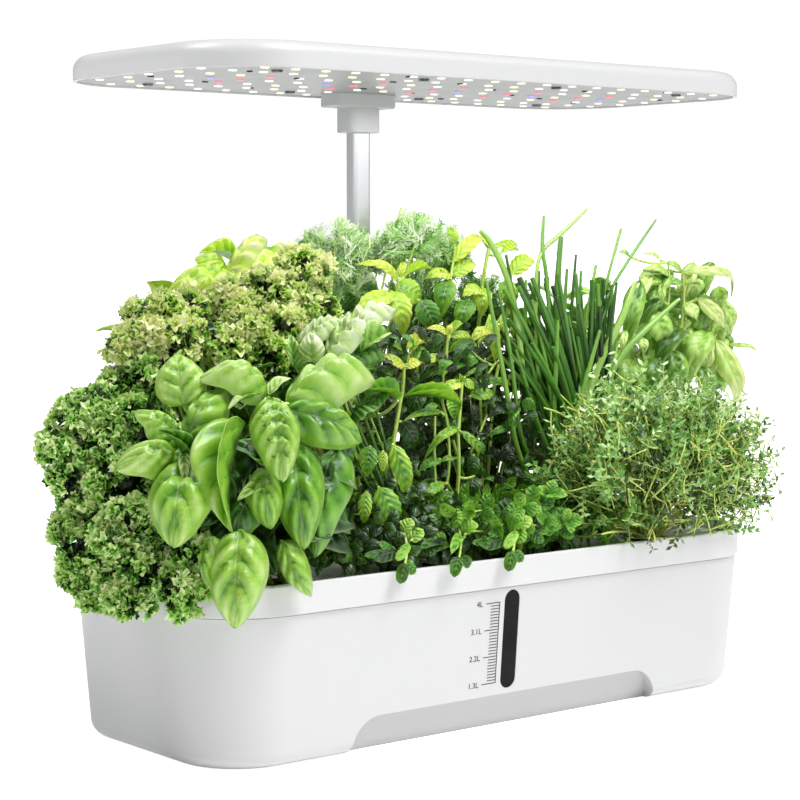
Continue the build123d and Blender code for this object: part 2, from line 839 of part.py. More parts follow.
def plant(name, column, row, rings, lobes=()):
    """A plant from its sponge up, through the rings of its crown, with its lobes."""
    x, y = pod_x[column - 1], pod_y[row - 1]
    stem = (sponge_top, x - stem_radius, x + stem_radius, y - stem_radius, y + stem_radius)
    crown = [
        (z, x - left, x + right, y - front, y + back)
        for z, left, right, front, back in rings
    ]
    with BuildPart() as plant_form:
        for levels in ([stem, *crown], *lobes):
            for z, low_x, high_x, low_y, high_y in levels:
                length, width = high_x - low_x, high_y - low_y
                with BuildSketch(Plane.XY.offset(z)):
                    with Locations(((low_x + high_x) / 2, (low_y + high_y) / 2)):
                        RectangleRounded(length, width, crown_corner * min(length, width) / 2)
            loft(ruled=True)
    save(plant_form.part, name)


left_hang = -rim_length / 2 - hang_side
front_hang = -rim_width / 2 - hang_front

basil_tuft = lobe(
    pod_x[0] - grown(52),
    pod_x[0] - grown(4),
    front_hang - grown(17),
    front_hang,
    grown(73),
    grown(130),
)
oregano_fringe = lobe(
    pod_x[2] - grown(124),
    pod_x[2] - grown(14),
    front_hang - grown(17.5),
    pod_y[0] - grown(37),
    grown(97),
    grown(120),
)
parsley_side = lobe(
    left_hang - grown(43),
    pod_x[0] - grown(48),
    pod_y[1] - grown(34),
    pod_y[1] + grown(58),
    grown(98),
    grown(200),
)
parsley_tuft = lobe(
    left_hang - grown(42),
    left_hang,
    pod_y[1] - grown(22),
    pod_y[1] + grown(46),
    grown(73),
    grown(130),
)

# crowns that lean over the right end: a height, then the reach left, right, front and back
thyme_rings = (
    (grown(106), grown(43), grown(90), grown(54), cell_y),
    (grown(136), cell_x, grown(102), grown(56), cell_y),
    (grown(162), grown(42), grown(84), grown(42), grown(20)),
    (grown(184), grown(22), grown(42), grown(20), grown(10)),
)
pepper_rings = (
    (grown(106), grown(34), grown(58), grown(18), grown(28)),
    (grown(150), cell_x, grown(102), cell_y, grown(38)),
    (grown(195), cell_x, grown(134), cell_y, grown(38)),
    (grown(230), grown(40), grown(142), grown(20), grown(32)),
    (grown(257), grown(18), grown(88), grown(12), grown(16)),
)

plant(
    "front_basil",
    1,
    1,
    mound(grown(88), cell_x, grown(56), grown(12), grown(205)),
    [basil_tuft],
)
plant("crinkled_basil", 2, 1, mound(cell_x, cell_x, grown(30), cell_y, grown(226)))
plant(
    "oregano",
    3,
    1,
    mound(cell_x, cell_x, grown(58), cell_y, grown(124)),
    [oregano_fringe],
)
plant("thyme", 4, 1, thyme_rings)
plant(
    "dark_parsley",
    1,
    2,
    mound(grown(60), cell_x, cell_y, cell_y, grown(238)),
    [parsley_side, parsley_tuft],
)
plant("light_parsley", 2, 2, mound(cell_x, cell_x, cell_y, cell_y, grown(253)))
plant("mint", 3, 2, mound(cell_x, cell_x, cell_y, cell_y, grown(266)))
plant("chives", 4, 2, mound(cell_x, grown(24), cell_y, cell_y, grown(281)))
plant("back_basil", 1, 3, mound(grown(45), cell_x, cell_y, grown(40), grown(266)))
plant("dill", 2, 3, mound(cell_x, grown(22), cell_y, grown(40), grown(278)))
plant("lemon_balm", 3, 3, mound(grown(22), cell_x, cell_y, grown(40), grown(266)))
plant("pepper", 4, 3, pepper_rings)
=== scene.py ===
import math
import random

import bmesh
import bpy
from mathutils import Matrix, Vector


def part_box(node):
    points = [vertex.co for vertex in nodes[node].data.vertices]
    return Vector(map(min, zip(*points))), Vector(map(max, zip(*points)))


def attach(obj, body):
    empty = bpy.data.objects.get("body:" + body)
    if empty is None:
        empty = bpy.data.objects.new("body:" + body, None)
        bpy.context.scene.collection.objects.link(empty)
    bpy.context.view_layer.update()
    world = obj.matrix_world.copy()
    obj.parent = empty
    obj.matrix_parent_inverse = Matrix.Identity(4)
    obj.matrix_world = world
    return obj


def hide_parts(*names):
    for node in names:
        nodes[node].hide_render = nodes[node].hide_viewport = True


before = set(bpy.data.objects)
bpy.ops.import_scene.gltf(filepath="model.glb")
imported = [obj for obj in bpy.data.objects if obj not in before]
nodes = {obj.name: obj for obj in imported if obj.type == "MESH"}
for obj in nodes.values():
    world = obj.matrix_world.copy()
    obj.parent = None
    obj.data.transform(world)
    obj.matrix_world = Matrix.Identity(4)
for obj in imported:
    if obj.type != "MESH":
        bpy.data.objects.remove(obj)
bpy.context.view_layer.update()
scene = bpy.context.scene
print("frame loaded")

# shared helpers


def linearColour(code):
    channels = [int(code[i : i + 2], 16) / 255 for i in (1, 3, 5)]
    return [c / 12.92 if c <= 0.04045 else ((c + 0.055) / 1.055) ** 2.4 for c in channels] + [1.0]


def addNode(tree, kind, sockets=None, **settings):
    # an input can be a number, a colour, a socket, or a node, which gives its first output
    node = tree.nodes.new("ShaderNode" + kind)
    for name, value in settings.items():
        setattr(node, name, value)
    for key, value in (sockets or {}).items():
        if isinstance(value, bpy.types.Node):
            value = value.outputs[0]
        if isinstance(value, bpy.types.NodeSocket):
            tree.links.new(value, node.inputs[key])
        elif isinstance(value, str):
            node.inputs[key].default_value = linearColour(value)
        else:
            node.inputs[key].default_value = value
    return node


def up(height):
    return Vector((0, 0, height))


def startMaterial(name):
    material = bpy.data.materials.new(name)
    material.use_nodes = True
    material.node_tree.nodes.clear()
    return material, material.node_tree


def setStops(ramp, stops):
    while len(ramp.elements) > 1:
        ramp.elements.remove(ramp.elements[-1])
    ramp.elements[0].position, ramp.elements[0].color = stops[0][0], linearColour(stops[0][1])
    for position, code in stops[1:]:
        ramp.elements.new(position).color = linearColour(code)


def dress(material, *names):
    for name in names:
        for materialSlot in nodes[name].material_slots:
            materialSlot.link = "OBJECT"
            materialSlot.material = material


def finishPiece(shape, name, body, materials, smooth=True):
    mesh = bpy.data.meshes.new(name)
    shape.to_mesh(mesh)
    shape.free()
    for material in materials:
        mesh.materials.append(material)
    for face in mesh.polygons:
        face.use_smooth = smooth
    piece = bpy.data.objects.new(name, mesh)
    scene.collection.objects.link(piece)
    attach(piece, body)
    return piece


# camera

view = {
    "place": Vector((-0.7773, -0.9410, 0.2628)),
    "yaw": 0.67944,
    "pitch": -0.0790,
    "focal": 2158.34,  # in pixels, like the centre
    "centre": (401.74, 413.78),
    "size": 800,
    "sensor": 36.0,
}
ahead = Vector((
    math.sin(view["yaw"]) * math.cos(view["pitch"]),
    math.cos(view["yaw"]) * math.cos(view["pitch"]),
    math.sin(view["pitch"]),
))
toRight = Vector((math.cos(view["yaw"]), -math.sin(view["yaw"]), 0))
toTop = toRight.cross(ahead)

lens = bpy.data.cameras.new("camera")
lens.sensor_width = view["sensor"]
lens.lens = view["focal"] * view["sensor"] / view["size"]
lens.shift_x = (view["size"] / 2 - view["centre"][0]) / view["size"]
lens.shift_y = (view["centre"][1] - view["size"] / 2) / view["size"]
lens.clip_start, lens.clip_end = 0.05, 50
camera = bpy.data.objects.new("camera", lens)
camera.location = view["place"]
camera.rotation_euler = (math.pi / 2 + view["pitch"], 0, -view["yaw"])
scene.collection.objects.link(camera)
scene.camera = camera


def seen(u, v, y):
    # the point that shows at a pixel, on the upright plane at a depth y
    across, down = u - view["centre"][0], v - view["centre"][1]
    ray = ahead + toRight * across / view["focal"] - toTop * down / view["focal"]
    return view["place"] + ray * (y - view["place"].y) / ray.y


def spanAt(pixels, point):
    # how long a span of pixels is at a point
    return pixels * (point - view["place"]).dot(ahead) / view["focal"]


# hard materials

mouldings = {
    "edgeRound": 0.0006,  # soft edges of injection-moulded parts
    "grain": 0.00045,  # width of the mould's spark-eroded grain
    "grainDepth": 0.0002,
    "flow": 9.0,  # scale of the patches where the melt's flow changes the shine
    "flowShine": 0.04,
    "refraction": 1.54,
    "coatRoughness": 0.12,
}
recess = {
    "halfWidth": 0.1105, "height": 0.0188, "behind": -0.05,
    "front": -0.0734, "taper": 0.0822,  # the wall's face at the underside, and how it slopes
    # painted shade of the recess: a darker grey standing in for the shadow it sits in
    "colour": "#c6c6c6",
}


def recessShadeMask(tree, where):
    # 1 on the faces of the hand recess at the foot of the front wall, where the colour is darkened as
    # painted shade
    axes = addNode(tree, "SeparateXYZ", {"Vector": where.outputs["Object"]})
    away = addNode(tree, "Math", {0: axes.outputs["X"]}, operation="ABSOLUTE")
    mask = addNode(tree, "Math", {0: away, 1: recess["halfWidth"]}, operation="LESS_THAN")
    for axis, limit in (("Z", recess["height"]), ("Y", recess["behind"])):
        below = addNode(tree, "Math", {0: axes.outputs[axis], 1: limit}, operation="LESS_THAN")
        mask = addNode(tree, "Math", {0: mask, 1: below}, operation="MULTIPLY")
    level = addNode(tree, "Math", {
        0: axes.outputs["Z"], 1: recess["taper"], 2: axes.outputs["Y"],
    }, operation="MULTIPLY_ADD")
    sunk = addNode(tree, "Math", {0: level, 1: recess["front"]}, operation="GREATER_THAN")
    return addNode(tree, "Math", {0: mask, 1: sunk}, operation="MULTIPLY")


def mouldedPlastic(name, colour, roughness, grain=0.0, coat=0.0, edge=None, withRecessShade=False):
    # ABS from a mould: white pigment, fine grain that breaks the shine, edges a little round
    material, tree = startMaterial(name)
    where = addNode(tree, "TexCoord")
    grains = addNode(tree, "TexNoise", {
        "Vector": where.outputs["Object"], "Scale": 1 / mouldings["grain"], "Detail": 3.0,
    })
    flow = addNode(tree, "TexNoise", {
        "Vector": where.outputs["Object"], "Scale": mouldings["flow"], "Detail": 2.0,
    })
    rough = addNode(tree, "MapRange", {
        "Value": flow, "To Min": roughness - mouldings["flowShine"],
        "To Max": roughness + mouldings["flowShine"],
    })
    rounded = addNode(tree, "Bevel", {"Radius": edge or mouldings["edgeRound"]}, samples=4)
    bump = addNode(tree, "Bump", {
        "Height": grains, "Normal": rounded, "Strength": grain, "Distance": mouldings["grainDepth"],
    })
    # painted shade: the hand recess takes the darker recess colour
    if withRecessShade:
        colour = addNode(tree, "Mix", {
            0: recessShadeMask(tree, where), 6: colour, 7: recess["colour"],
        }, data_type="RGBA").outputs[2]
    skin = addNode(tree, "BsdfPrincipled", {
        "Base Color": colour, "Roughness": rough, "IOR": mouldings["refraction"],
        "Normal": bump, "Coat Weight": coat, "Coat Roughness": mouldings["coatRoughness"],
    })
    addNode(tree, "OutputMaterial", {"Surface": skin})
    return material


def patternedMaterial(
    name, pattern, stops, finish, kind="TexNoise", stretch=None, relief=None, **settings,
):
    # a surface whose colour follows a fine pattern, and its height too where relief is given
    material, tree = startMaterial(name)
    where = addNode(tree, "TexCoord").outputs["Object"]
    if stretch:
        where = addNode(tree, "Mapping", {"Vector": where, "Scale": stretch})
    cells = addNode(tree, kind, {"Vector": where, **pattern}, **settings)
    tint = addNode(tree, "ValToRGB", {"Fac": cells})
    setStops(tint.color_ramp, stops)
    finish = {"Base Color": tint, **finish}
    if relief:
        finish["Normal"] = addNode(tree, "Bump", {"Height": cells, **relief})
    skin = addNode(tree, "BsdfPrincipled", finish)
    addNode(tree, "OutputMaterial", {"Surface": skin})
    return material


tubAbs = mouldedPlastic("whiteAbsTub", "#d9d9d9", 0.42, grain=0.35, withRecessShade=True)
whiteAbs = mouldedPlastic("whiteAbsSatin", "#e8e8e8", 0.42, grain=0.35)
rimAbs = mouldedPlastic("whiteAbsRim", "#dfdfdf", 0.36, grain=0.2)
glossAbs = mouldedPlastic("whiteAbsGloss", "#dddddd", 0.34, grain=0.05, coat=0.1)
greyPlastic = mouldedPlastic("lightGreyNylon", "#bfc0c2", 0.38, grain=0.2, edge=0.0005)
buttonPlastic = mouldedPlastic("greyButtonAbs", "#b9bbbd", 0.35, grain=0.1, edge=0.0004)
blackPlastic = mouldedPlastic("blackPumpAbs", "#17181a", 0.4, grain=0.3)
basketPlastic = mouldedPlastic("whitePolypropylene", "#e9ebea", 0.45, grain=0.15, edge=0.0003)
rubber = mouldedPlastic("blackRubber", "#202022", 0.75, grain=0.6)

dress(tubAbs, "tub")
dress(whiteAbs, "control_housing", "pole_base")
dress(rimAbs, "deck", "fill_cap")
dress(glossAbs, "lamp_shell")
dress(greyPlastic, "pole_collar", "lamp_bracket")
dress(buttonPlastic, "light_button", "pump_button")
dress(blackPlastic, "pump_body", "pump_filter", "pump_outlet", "power_inlet")
dress(rubber, "feet")
dress(basketPlastic, *[name for name in nodes if name.startswith("basket_")])

# smoked acrylic of the water window: near black, with a clear gloss skin
smokedAcrylic = patternedMaterial(
    "smokedAcrylic", {"Scale": 60.0, "Detail": 2.0}, [(0.3, "#17171a"), (0.7, "#1f1f20")],
    {"Roughness": 0.25, "Specular IOR Level": 0.1},
)
dress(smokedAcrylic, "water_window")

# anodised aluminium tube: satin grey, drawn lengthwise, so its streaks run up and down
anodised, tree = startMaterial("satinAnodisedAluminium")
where = addNode(tree, "TexCoord")
stretched = addNode(tree, "Mapping", {"Vector": where.outputs["Object"], "Scale": (3000, 3000, 12)})
streaks = addNode(tree, "TexNoise", {"Vector": stretched, "Scale": 1.0, "Detail": 2.0})
rough = addNode(tree, "MapRange", {"Value": streaks, "To Min": 0.28, "To Max": 0.42})
rounded = addNode(tree, "Bevel", {"Radius": 0.0004}, samples=4)
drawn = addNode(tree, "Bump", {
    "Height": streaks, "Normal": rounded, "Strength": 0.15, "Distance": 0.0001,
})
skin = addNode(tree, "BsdfPrincipled", {
    "Base Color": "#d0d1d3", "Metallic": 0.75, "Roughness": rough, "Normal": drawn,
})
addNode(tree, "OutputMaterial", {"Surface": skin})
dress(anodised, "inner_pole", "outer_pole")

# white solder mask on an aluminium board, coloured cool mid grey as painted shade on its downward face
dress(patternedMaterial(
    "whiteSolderMaskPaintedShade", {"Scale": 45.0, "Detail": 3.0}, [(0.35, "#949398"), (0.65, "#a09fa4")],
    {"Roughness": 0.35},
), "led_board")

# green solder mask of the control board, hidden under the buttons
dress(patternedMaterial(
    "greenSolderMask", {"Scale": 600.0}, [(0.05, "#2c7a48"), (0.12, "#14502b")], {"Roughness": 0.3},
    kind="TexVoronoi", feature="DISTANCE_TO_EDGE",
), "control_board")

# lit LED packages: phosphor that glows, brighter at the middle of the lens
leds = {
    "white_leds": ("litWhitePhosphor", "#fff8e0", 0.8),
    "red_leds": ("litRedDiode", "#f4778c", 0.7),
    "blue_leds": ("litBlueDiode", "#8f8cf0", 0.7),
}
for name, (materialName, colour, strength) in leds.items():
    material, tree = startMaterial(materialName)
    where = addNode(tree, "TexCoord")
    flicker = addNode(tree, "TexNoise", {"Vector": where.outputs["Object"], "Scale": 300.0})
    level = addNode(tree, "MapRange", {
        "Value": flicker, "To Min": strength * 0.9, "To Max": strength * 1.1,
    })
    skin = addNode(tree, "BsdfPrincipled", {
        "Base Color": colour, "Roughness": 0.2,
        "Emission Color": colour, "Emission Strength": level,
    })
    addNode(tree, "OutputMaterial", {"Surface": skin})
    dress(material, name)

# blackened steel screws, worn a little brighter in patches
dress(patternedMaterial(
    "blackenedSteel", {"Scale": 900.0, "Detail": 2.0}, [(0.4, "#4a4a4c"), (0.65, "#8b8b8f")],
    {"Metallic": 0.9, "Roughness": 0.35},
), "lamp_screws")

# peat grow sponge: dark, open, matt
dress(patternedMaterial(
    "peatGrowSponge", {"Scale": 700.0}, [(0.1, "#1c140d"), (0.6, "#3d2d1d")], {"Roughness": 0.95},
    kind="TexVoronoi", relief={"Strength": 0.8, "Distance": 0.0006},
), *[name for name in nodes if name.startswith("sponge_")])

# printing ink of the water scale
ink = patternedMaterial(
    "blackPrintInk", {"Scale": 1500.0}, [(0.3, "#1c1c1d"), (0.7, "#2c2a2a")], {"Roughness": 0.6},
)
print("hard materials done")

# printed water scale

waterScale = {
    "lineX": -0.0140,
    "low": 0.0258,
    "high": 0.0702,
    "steps": 27,
    "majorEach": 9,
    "minor": 0.0062,
    "major": 0.0098,
    "stroke": 0.00042,
    "film": 0.00012,  # thickness of the print
    "labels": ("1.3L", "2.2L", "3.1L", "4L"),
    "labelHeight": 0.0044,
    "labelGap": 0.0022,
    "wallY": -0.0806,  # the wall's face at its shoulder
    "shoulder": 0.0778,
    "taper": math.radians(4.7),
}
ontoWall = (
    Matrix.Translation((0, waterScale["wallY"], waterScale["shoulder"]))
    @ Matrix.Rotation(waterScale["taper"], 4, "X")
)


def upWall(z):
    return (z - waterScale["shoulder"]) / math.cos(waterScale["taper"])


def addBar(shape, x0, x1, z0, z1):
    bar = Matrix.Translation(((x0 + x1) / 2, 0, (z0 + z1) / 2)) @ Matrix.Diagonal(
        (x1 - x0, 2 * waterScale["film"], z1 - z0, 1)
    )
    bmesh.ops.create_cube(shape, size=1, matrix=ontoWall @ bar)


marks = bmesh.new()
half = waterScale["stroke"] / 2
low, high = upWall(waterScale["low"]), upWall(waterScale["high"])
addBar(marks, waterScale["lineX"] - half, waterScale["lineX"] + half, low - half, high + half)
for step in range(waterScale["steps"] + 1):
    z = low + (high - low) * step / waterScale["steps"]
    length = waterScale["major" if step % waterScale["majorEach"] == 0 else "minor"]
    addBar(marks, waterScale["lineX"] - length, waterScale["lineX"] - half, z - half, z + half)
for index, label in enumerate(waterScale["labels"]):
    words = bpy.data.curves.new("label", "FONT")
    words.body, words.size = label, waterScale["labelHeight"]
    words.align_x, words.align_y = "RIGHT", "CENTER"
    words.extrude, words.resolution_u = waterScale["film"], 3
    lettering = bpy.data.objects.new("label", words)
    mesh = bpy.data.meshes.new_from_object(lettering)
    z = low + (high - low) * index * waterScale["majorEach"] / waterScale["steps"]
    upright = Matrix.Rotation(math.pi / 2, 4, "X")
    x = waterScale["lineX"] - waterScale["major"] - waterScale["labelGap"]
    mesh.transform(ontoWall @ Matrix.Translation((x, 0, z)) @ upright)
    marks.from_mesh(mesh)
    bpy.data.objects.remove(lettering)
finishPiece(marks, "waterScalePrint", "tub", [ink], smooth=False)
print("water scale done")

# small parts on the lamp board

boardParts = {
    "z": 0.3488,
    "size": (0.0032, 0.0017, 0.0006),
    "chamfer": 0.00012,
    "places": (
        (-0.171, 0.016), (-0.150, -0.043), (-0.128, 0.030), (-0.104, -0.020), (-0.083, 0.052),
        (-0.066, -0.066), (-0.030, 0.018), (-0.012, -0.044), (0.014, 0.030), (0.033, -0.020),
        (0.058, 0.056), (0.081, -0.044), (0.103, 0.018), (0.124, -0.066), (0.146, 0.034),
        (0.168, -0.018), (-0.049, -0.032), (0.070, 0.006),
    ),
}
chips = bmesh.new()
for index, (x, y) in enumerate(boardParts["places"]):
    bmesh.ops.create_cube(chips, size=1, matrix=(
        Matrix.Translation((x, y, boardParts["z"] - boardParts["size"][2] / 2))
        @ Matrix.Rotation(math.radians(index % 4 * 90), 4, "Z")
        @ Matrix.Diagonal((*boardParts["size"], 1))
    ))
bmesh.ops.bevel(
    chips, geom=chips.edges[:], offset=boardParts["chamfer"], segments=1, affect="EDGES",
    profile=0.5, material=-1,
)
finishPiece(chips, "boardChips", "lamp", [smokedAcrylic], smooth=False)

# foliage materials


leafPattern = {
    # across a leaf, from its middle (0) to its edge (0.5)
    # the rim is a painted highlight along the leaf's edge; the side-vein grooves get painted shade
    "rib": (0.006, 0.026), "veinFade": (0.2, 0.46), "rim": (0.45, 0.495), "rimHighlightShare": 0.8,
    "veinWidth": 0.05,  # as a share of the space between veins
    "netShare": 0.35, "depth": 0.0014,  # of the relief
    "refraction": 1.45, "waxRoughness": 0.3, "glowShare": 0.4,
}


def leafMaterial(name, look):
    # living leaf: waxy skin with a broad soft shine, and light that comes through it yellow-green
    material, tree = startMaterial(name)
    where = addNode(tree, "TexCoord")
    tone = addNode(tree, "Attribute", attribute_name="tone")
    patches = addNode(tree, "TexNoise", {
        "Vector": where.outputs["Object"], "Scale": 1 / look["patch"], "Detail": 3.0,
    })
    centred = addNode(tree, "MapRange", {
        "Value": patches, "From Min": 0.3, "From Max": 0.7,
        "To Min": -look["mottle"], "To Max": look["mottle"],
    })
    level = addNode(tree, "Math", {0: tone.outputs["Fac"], 1: centred}, operation="ADD")
    colour, height = None, patches
    if look.get("veins"):
        across = addNode(tree, "SeparateXYZ", {"Vector": where.outputs["UV"]})
        off = addNode(tree, "Math", {0: across.outputs["X"], 1: 0.5}, operation="SUBTRACT")
        side = addNode(tree, "Math", {0: off}, operation="ABSOLUTE")
        along = addNode(tree, "MapRange", {
            "Value": across.outputs["Y"], "To Min": -look["lengthwise"], "To Max": look["lengthwise"],
        })
        level = addNode(tree, "Math", {0: level, 1: along}, operation="ADD")
        rib = addNode(tree, "MapRange", {
            "Value": side, "From Min": leafPattern["rib"][0], "From Max": leafPattern["rib"][1],
            "To Min": 1.0, "To Max": 0.0,
        })
        slant = addNode(tree, "Math", {0: side, 1: -look["slant"]}, operation="MULTIPLY")
        steps = addNode(tree, "Math", {
            0: across.outputs["Y"], 1: float(look["veins"]), 2: slant,
        }, operation="MULTIPLY_ADD")
        saw = addNode(tree, "Math", {0: steps, 1: 0.5}, operation="PINGPONG")
        line = addNode(tree, "MapRange", {
            "Value": saw, "From Min": 0.0, "From Max": leafPattern["veinWidth"],
            "To Min": 1.0, "To Max": 0.0,
        })
        fade = addNode(tree, "MapRange", {
            "Value": side, "From Min": leafPattern["veinFade"][0],
            "From Max": leafPattern["veinFade"][1], "To Min": 1.0, "To Max": 0.0,
        })
        # painted highlight: the leaf's edge paled towards the vein colour
        rim = addNode(tree, "MapRange", {
            "Value": side, "From Min": leafPattern["rim"][0], "From Max": leafPattern["rim"][1],
            "To Min": 0.0, "To Max": leafPattern["rimHighlightShare"],
        })
        # painted shade: the side veins darkened as shadowed grooves
        grooveShade = addNode(tree, "Math", {0: line, 1: fade}, operation="MULTIPLY")
        level = addNode(tree, "Math", {0: grooveShade, 1: -look["grooveShade"], 2: level}, operation="MULTIPLY_ADD")
        # the pale midrib is the leaf's own colour; the pale edge mixed in with it is painted highlight
        pale = addNode(tree, "Math", {0: rib, 1: rim}, operation="MAXIMUM")
        share = addNode(tree, "Math", {0: pale, 1: look["veinShare"]}, operation="MULTIPLY")
        ramp = addNode(tree, "ValToRGB", {"Fac": level})
        mixed = addNode(tree, "Mix", {0: share, 6: ramp, 7: look["veinColour"]}, data_type="RGBA")
        colour = mixed.outputs[2]
        pad = addNode(tree, "MapRange", {
            "Value": saw, "From Min": 0.0, "From Max": 0.5, "To Min": 0.0, "To Max": 1.0,
        }, interpolation_type="SMOOTHSTEP")
        net = addNode(tree, "TexNoise", {
            "Vector": where.outputs["Object"], "Scale": 1 / look["net"], "Detail": 2.0,
        })
        rough = addNode(tree, "Math", {
            0: net, 1: leafPattern["netShare"], 2: pad,
        }, operation="MULTIPLY_ADD")
        height = addNode(tree, "Math", {0: rough, 1: rib}, operation="SUBTRACT")
    else:
        ramp = addNode(tree, "ValToRGB", {"Fac": level})
        colour = ramp
    # the top stops are near white: painted highlight where the tone is high
    setStops(ramp.color_ramp, look["stops"])
    bump = addNode(tree, "Bump", {
        "Height": height, "Strength": look["relief"], "Distance": leafPattern["depth"],
    })
    skin = addNode(tree, "BsdfPrincipled", {
        "Base Color": colour, "Roughness": look["roughness"], "IOR": leafPattern["refraction"],
        "Normal": bump, "Coat Weight": look["wax"], "Coat Roughness": leafPattern["waxRoughness"],
    })
    glow = addNode(tree, "Mix", {
        0: leafPattern["glowShare"], 6: colour, 7: look["glow"],
    }, data_type="RGBA")
    through = addNode(tree, "BsdfTranslucent", {"Color": glow.outputs[2], "Normal": bump})
    both = addNode(tree, "MixShader", {0: look["clear"], 1: skin, 2: through})
    addNode(tree, "OutputMaterial", {"Surface": both})
    return material


def stemMaterial(name, pale, deep):
    # soft green stem: paler ridges along it
    return patternedMaterial(
        name, {"Scale": 1.0, "Detail": 2.0}, [(0.35, deep), (0.6, pale)], {"Roughness": 0.45},
        stretch=(900, 900, 60), relief={"Strength": 0.3, "Distance": 0.0003},
    )


def evenly(*colours):
    return list(zip((0.0, 0.25, 0.5, 0.75, 1.0), colours))


def bunched(*colours):
    return list(zip((0.0, 0.22, 0.45, 0.7, 1.0), colours))


basilLook = {
    "stops": evenly("#1b4408", "#3f8410", "#76b826", "#aede4e", "#e2f7a4"),
    "patch": 0.014, "mottle": 0.13, "veins": 4, "slant": 3.0, "veinShare": 0.45, "veinColour": "#d6f09a",
    "grooveShade": 0.22, "lengthwise": 0.06, "net": 0.003, "relief": 0.45, "roughness": 0.45, "wax": 1.0,
    "glow": "#b4e628", "clear": 0.2,
}
smoothStem = stemMaterial("paleGreenStem", "#d4ea7e", "#a4cb4c")
shadedStem = stemMaterial("mossGreenStem", "#5f8a34", "#35591c")
basilSkin = leafMaterial("waxyBasilLeaf", basilLook)
puckeredSkin = leafMaterial("puckeredBasilLeaf", {
    **basilLook, "veins": 5, "relief": 0.6, "veinShare": 0.3,
    "stops": evenly("#1d4a08", "#5fa624", "#b0e264", "#e4faac", "#fbffea"),
})
limeSkin = leafMaterial("youngBasilLeaf", {
    **basilLook, "relief": 0.4,
    "stops": evenly("#3f8a10", "#9ade24", "#d4fa48", "#ecff7c", "#fbffc4"),
})
mintSkin = leafMaterial("veinedMintLeaf", {
    **basilLook, "patch": 0.01, "veins": 6, "slant": 3.2, "relief": 0.5, "wax": 0.5,
    "lengthwise": 0.04, "veinColour": "#d3ea86", "veinShare": 0.4,
    "stops": evenly("#0c2604", "#2f6c12", "#66ae28", "#bce848", "#fafc6c"),
})
balmSkin = leafMaterial("yellowBalmLeaf", {
    **basilLook, "patch": 0.012, "veins": 6, "slant": 3.2, "relief": 0.45, "wax": 0.5,
    "lengthwise": 0.05, "veinColour": "#e9f5a0",
    "stops": evenly("#1c500a", "#549a22", "#9cd23c", "#c6ee48", "#ecff62"),
})
pepperSkin = leafMaterial("smoothPepperLeaf", {
    **basilLook, "patch": 0.02, "veins": 4, "slant": 2.6, "relief": 0.35, "wax": 0.8,
    "stops": evenly("#365c16", "#66a030", "#acde58", "#dafa88", "#f8ffb0"),
})
parsleySkin = leafMaterial("curledParsleyLeaf", {
    "stops": bunched("#081a02", "#2a6e0e", "#78c836", "#c8f87c", "#f2ffb8"),
    "patch": 0.006, "mottle": 0.1, "relief": 0.3, "roughness": 0.42, "wax": 0.8,
    "glow": "#8fdc3c", "clear": 0.18,
})
paleParsleySkin = leafMaterial("paleParsleyLeaf", {
    "stops": bunched("#0c2604", "#3c8014", "#9ae046", "#eaff84", "#ffffc8"),
    "patch": 0.006, "mottle": 0.12, "relief": 0.3, "roughness": 0.42, "wax": 0.8,
    "glow": "#c6ec4c", "clear": 0.2,
})
thymeSkin = leafMaterial("smallThymeLeaf", {
    "stops": bunched("#1c3a0e", "#5c983a", "#9cd272", "#ccf0a6", "#f6fee0"),
    "patch": 0.008, "mottle": 0.15, "relief": 0.1, "roughness": 0.42, "wax": 0.6,
    "glow": "#b2e46a", "clear": 0.18,
})
thymeStem = stemMaterial("woodyThymeStem", "#ecf688", "#b2c458")
dillSkin = leafMaterial("featheryDillLeaf", {
    "stops": evenly("#4f8434", "#98cc6c", "#d0f2a4", "#ecfbd0", "#fbfff2"),
    "patch": 0.008, "mottle": 0.2, "relief": 0.1, "roughness": 0.5, "wax": 0.0,
    "glow": "#c4eda4", "clear": 0.2,
})
chiveSkin = leafMaterial("hollowChiveLeaf", {
    "stops": evenly("#16330a", "#3c741f", "#6fae3c", "#a2d656", "#d0f088"),
    "patch": 0.03, "mottle": 0.1, "relief": 0.15, "roughness": 0.4, "wax": 0.8,
    "glow": "#a6dc3e", "clear": 0.12,
})
oreganoSkin = leafMaterial("downyOreganoLeaf", {
    **basilLook, "patch": 0.006, "veins": 4, "slant": 2.5, "relief": 0.5, "roughness": 0.5, "wax": 0.1,
    "stops": evenly("#0d2206", "#285a14", "#5ca430", "#a2d84a", "#dcfa7c"),
})
print("leaf materials done")

# leaf and sprig shapes

ownTone = {}  # what each point of a shape adds to the tone of the whole leaf: painted highlights and shade over puckered leaves, painted shade at the root of parsley lobes


def keepTone(mesh, values):
    mesh.attributes.new("tone", "FLOAT", "POINT")
    ownTone[mesh.name] = values


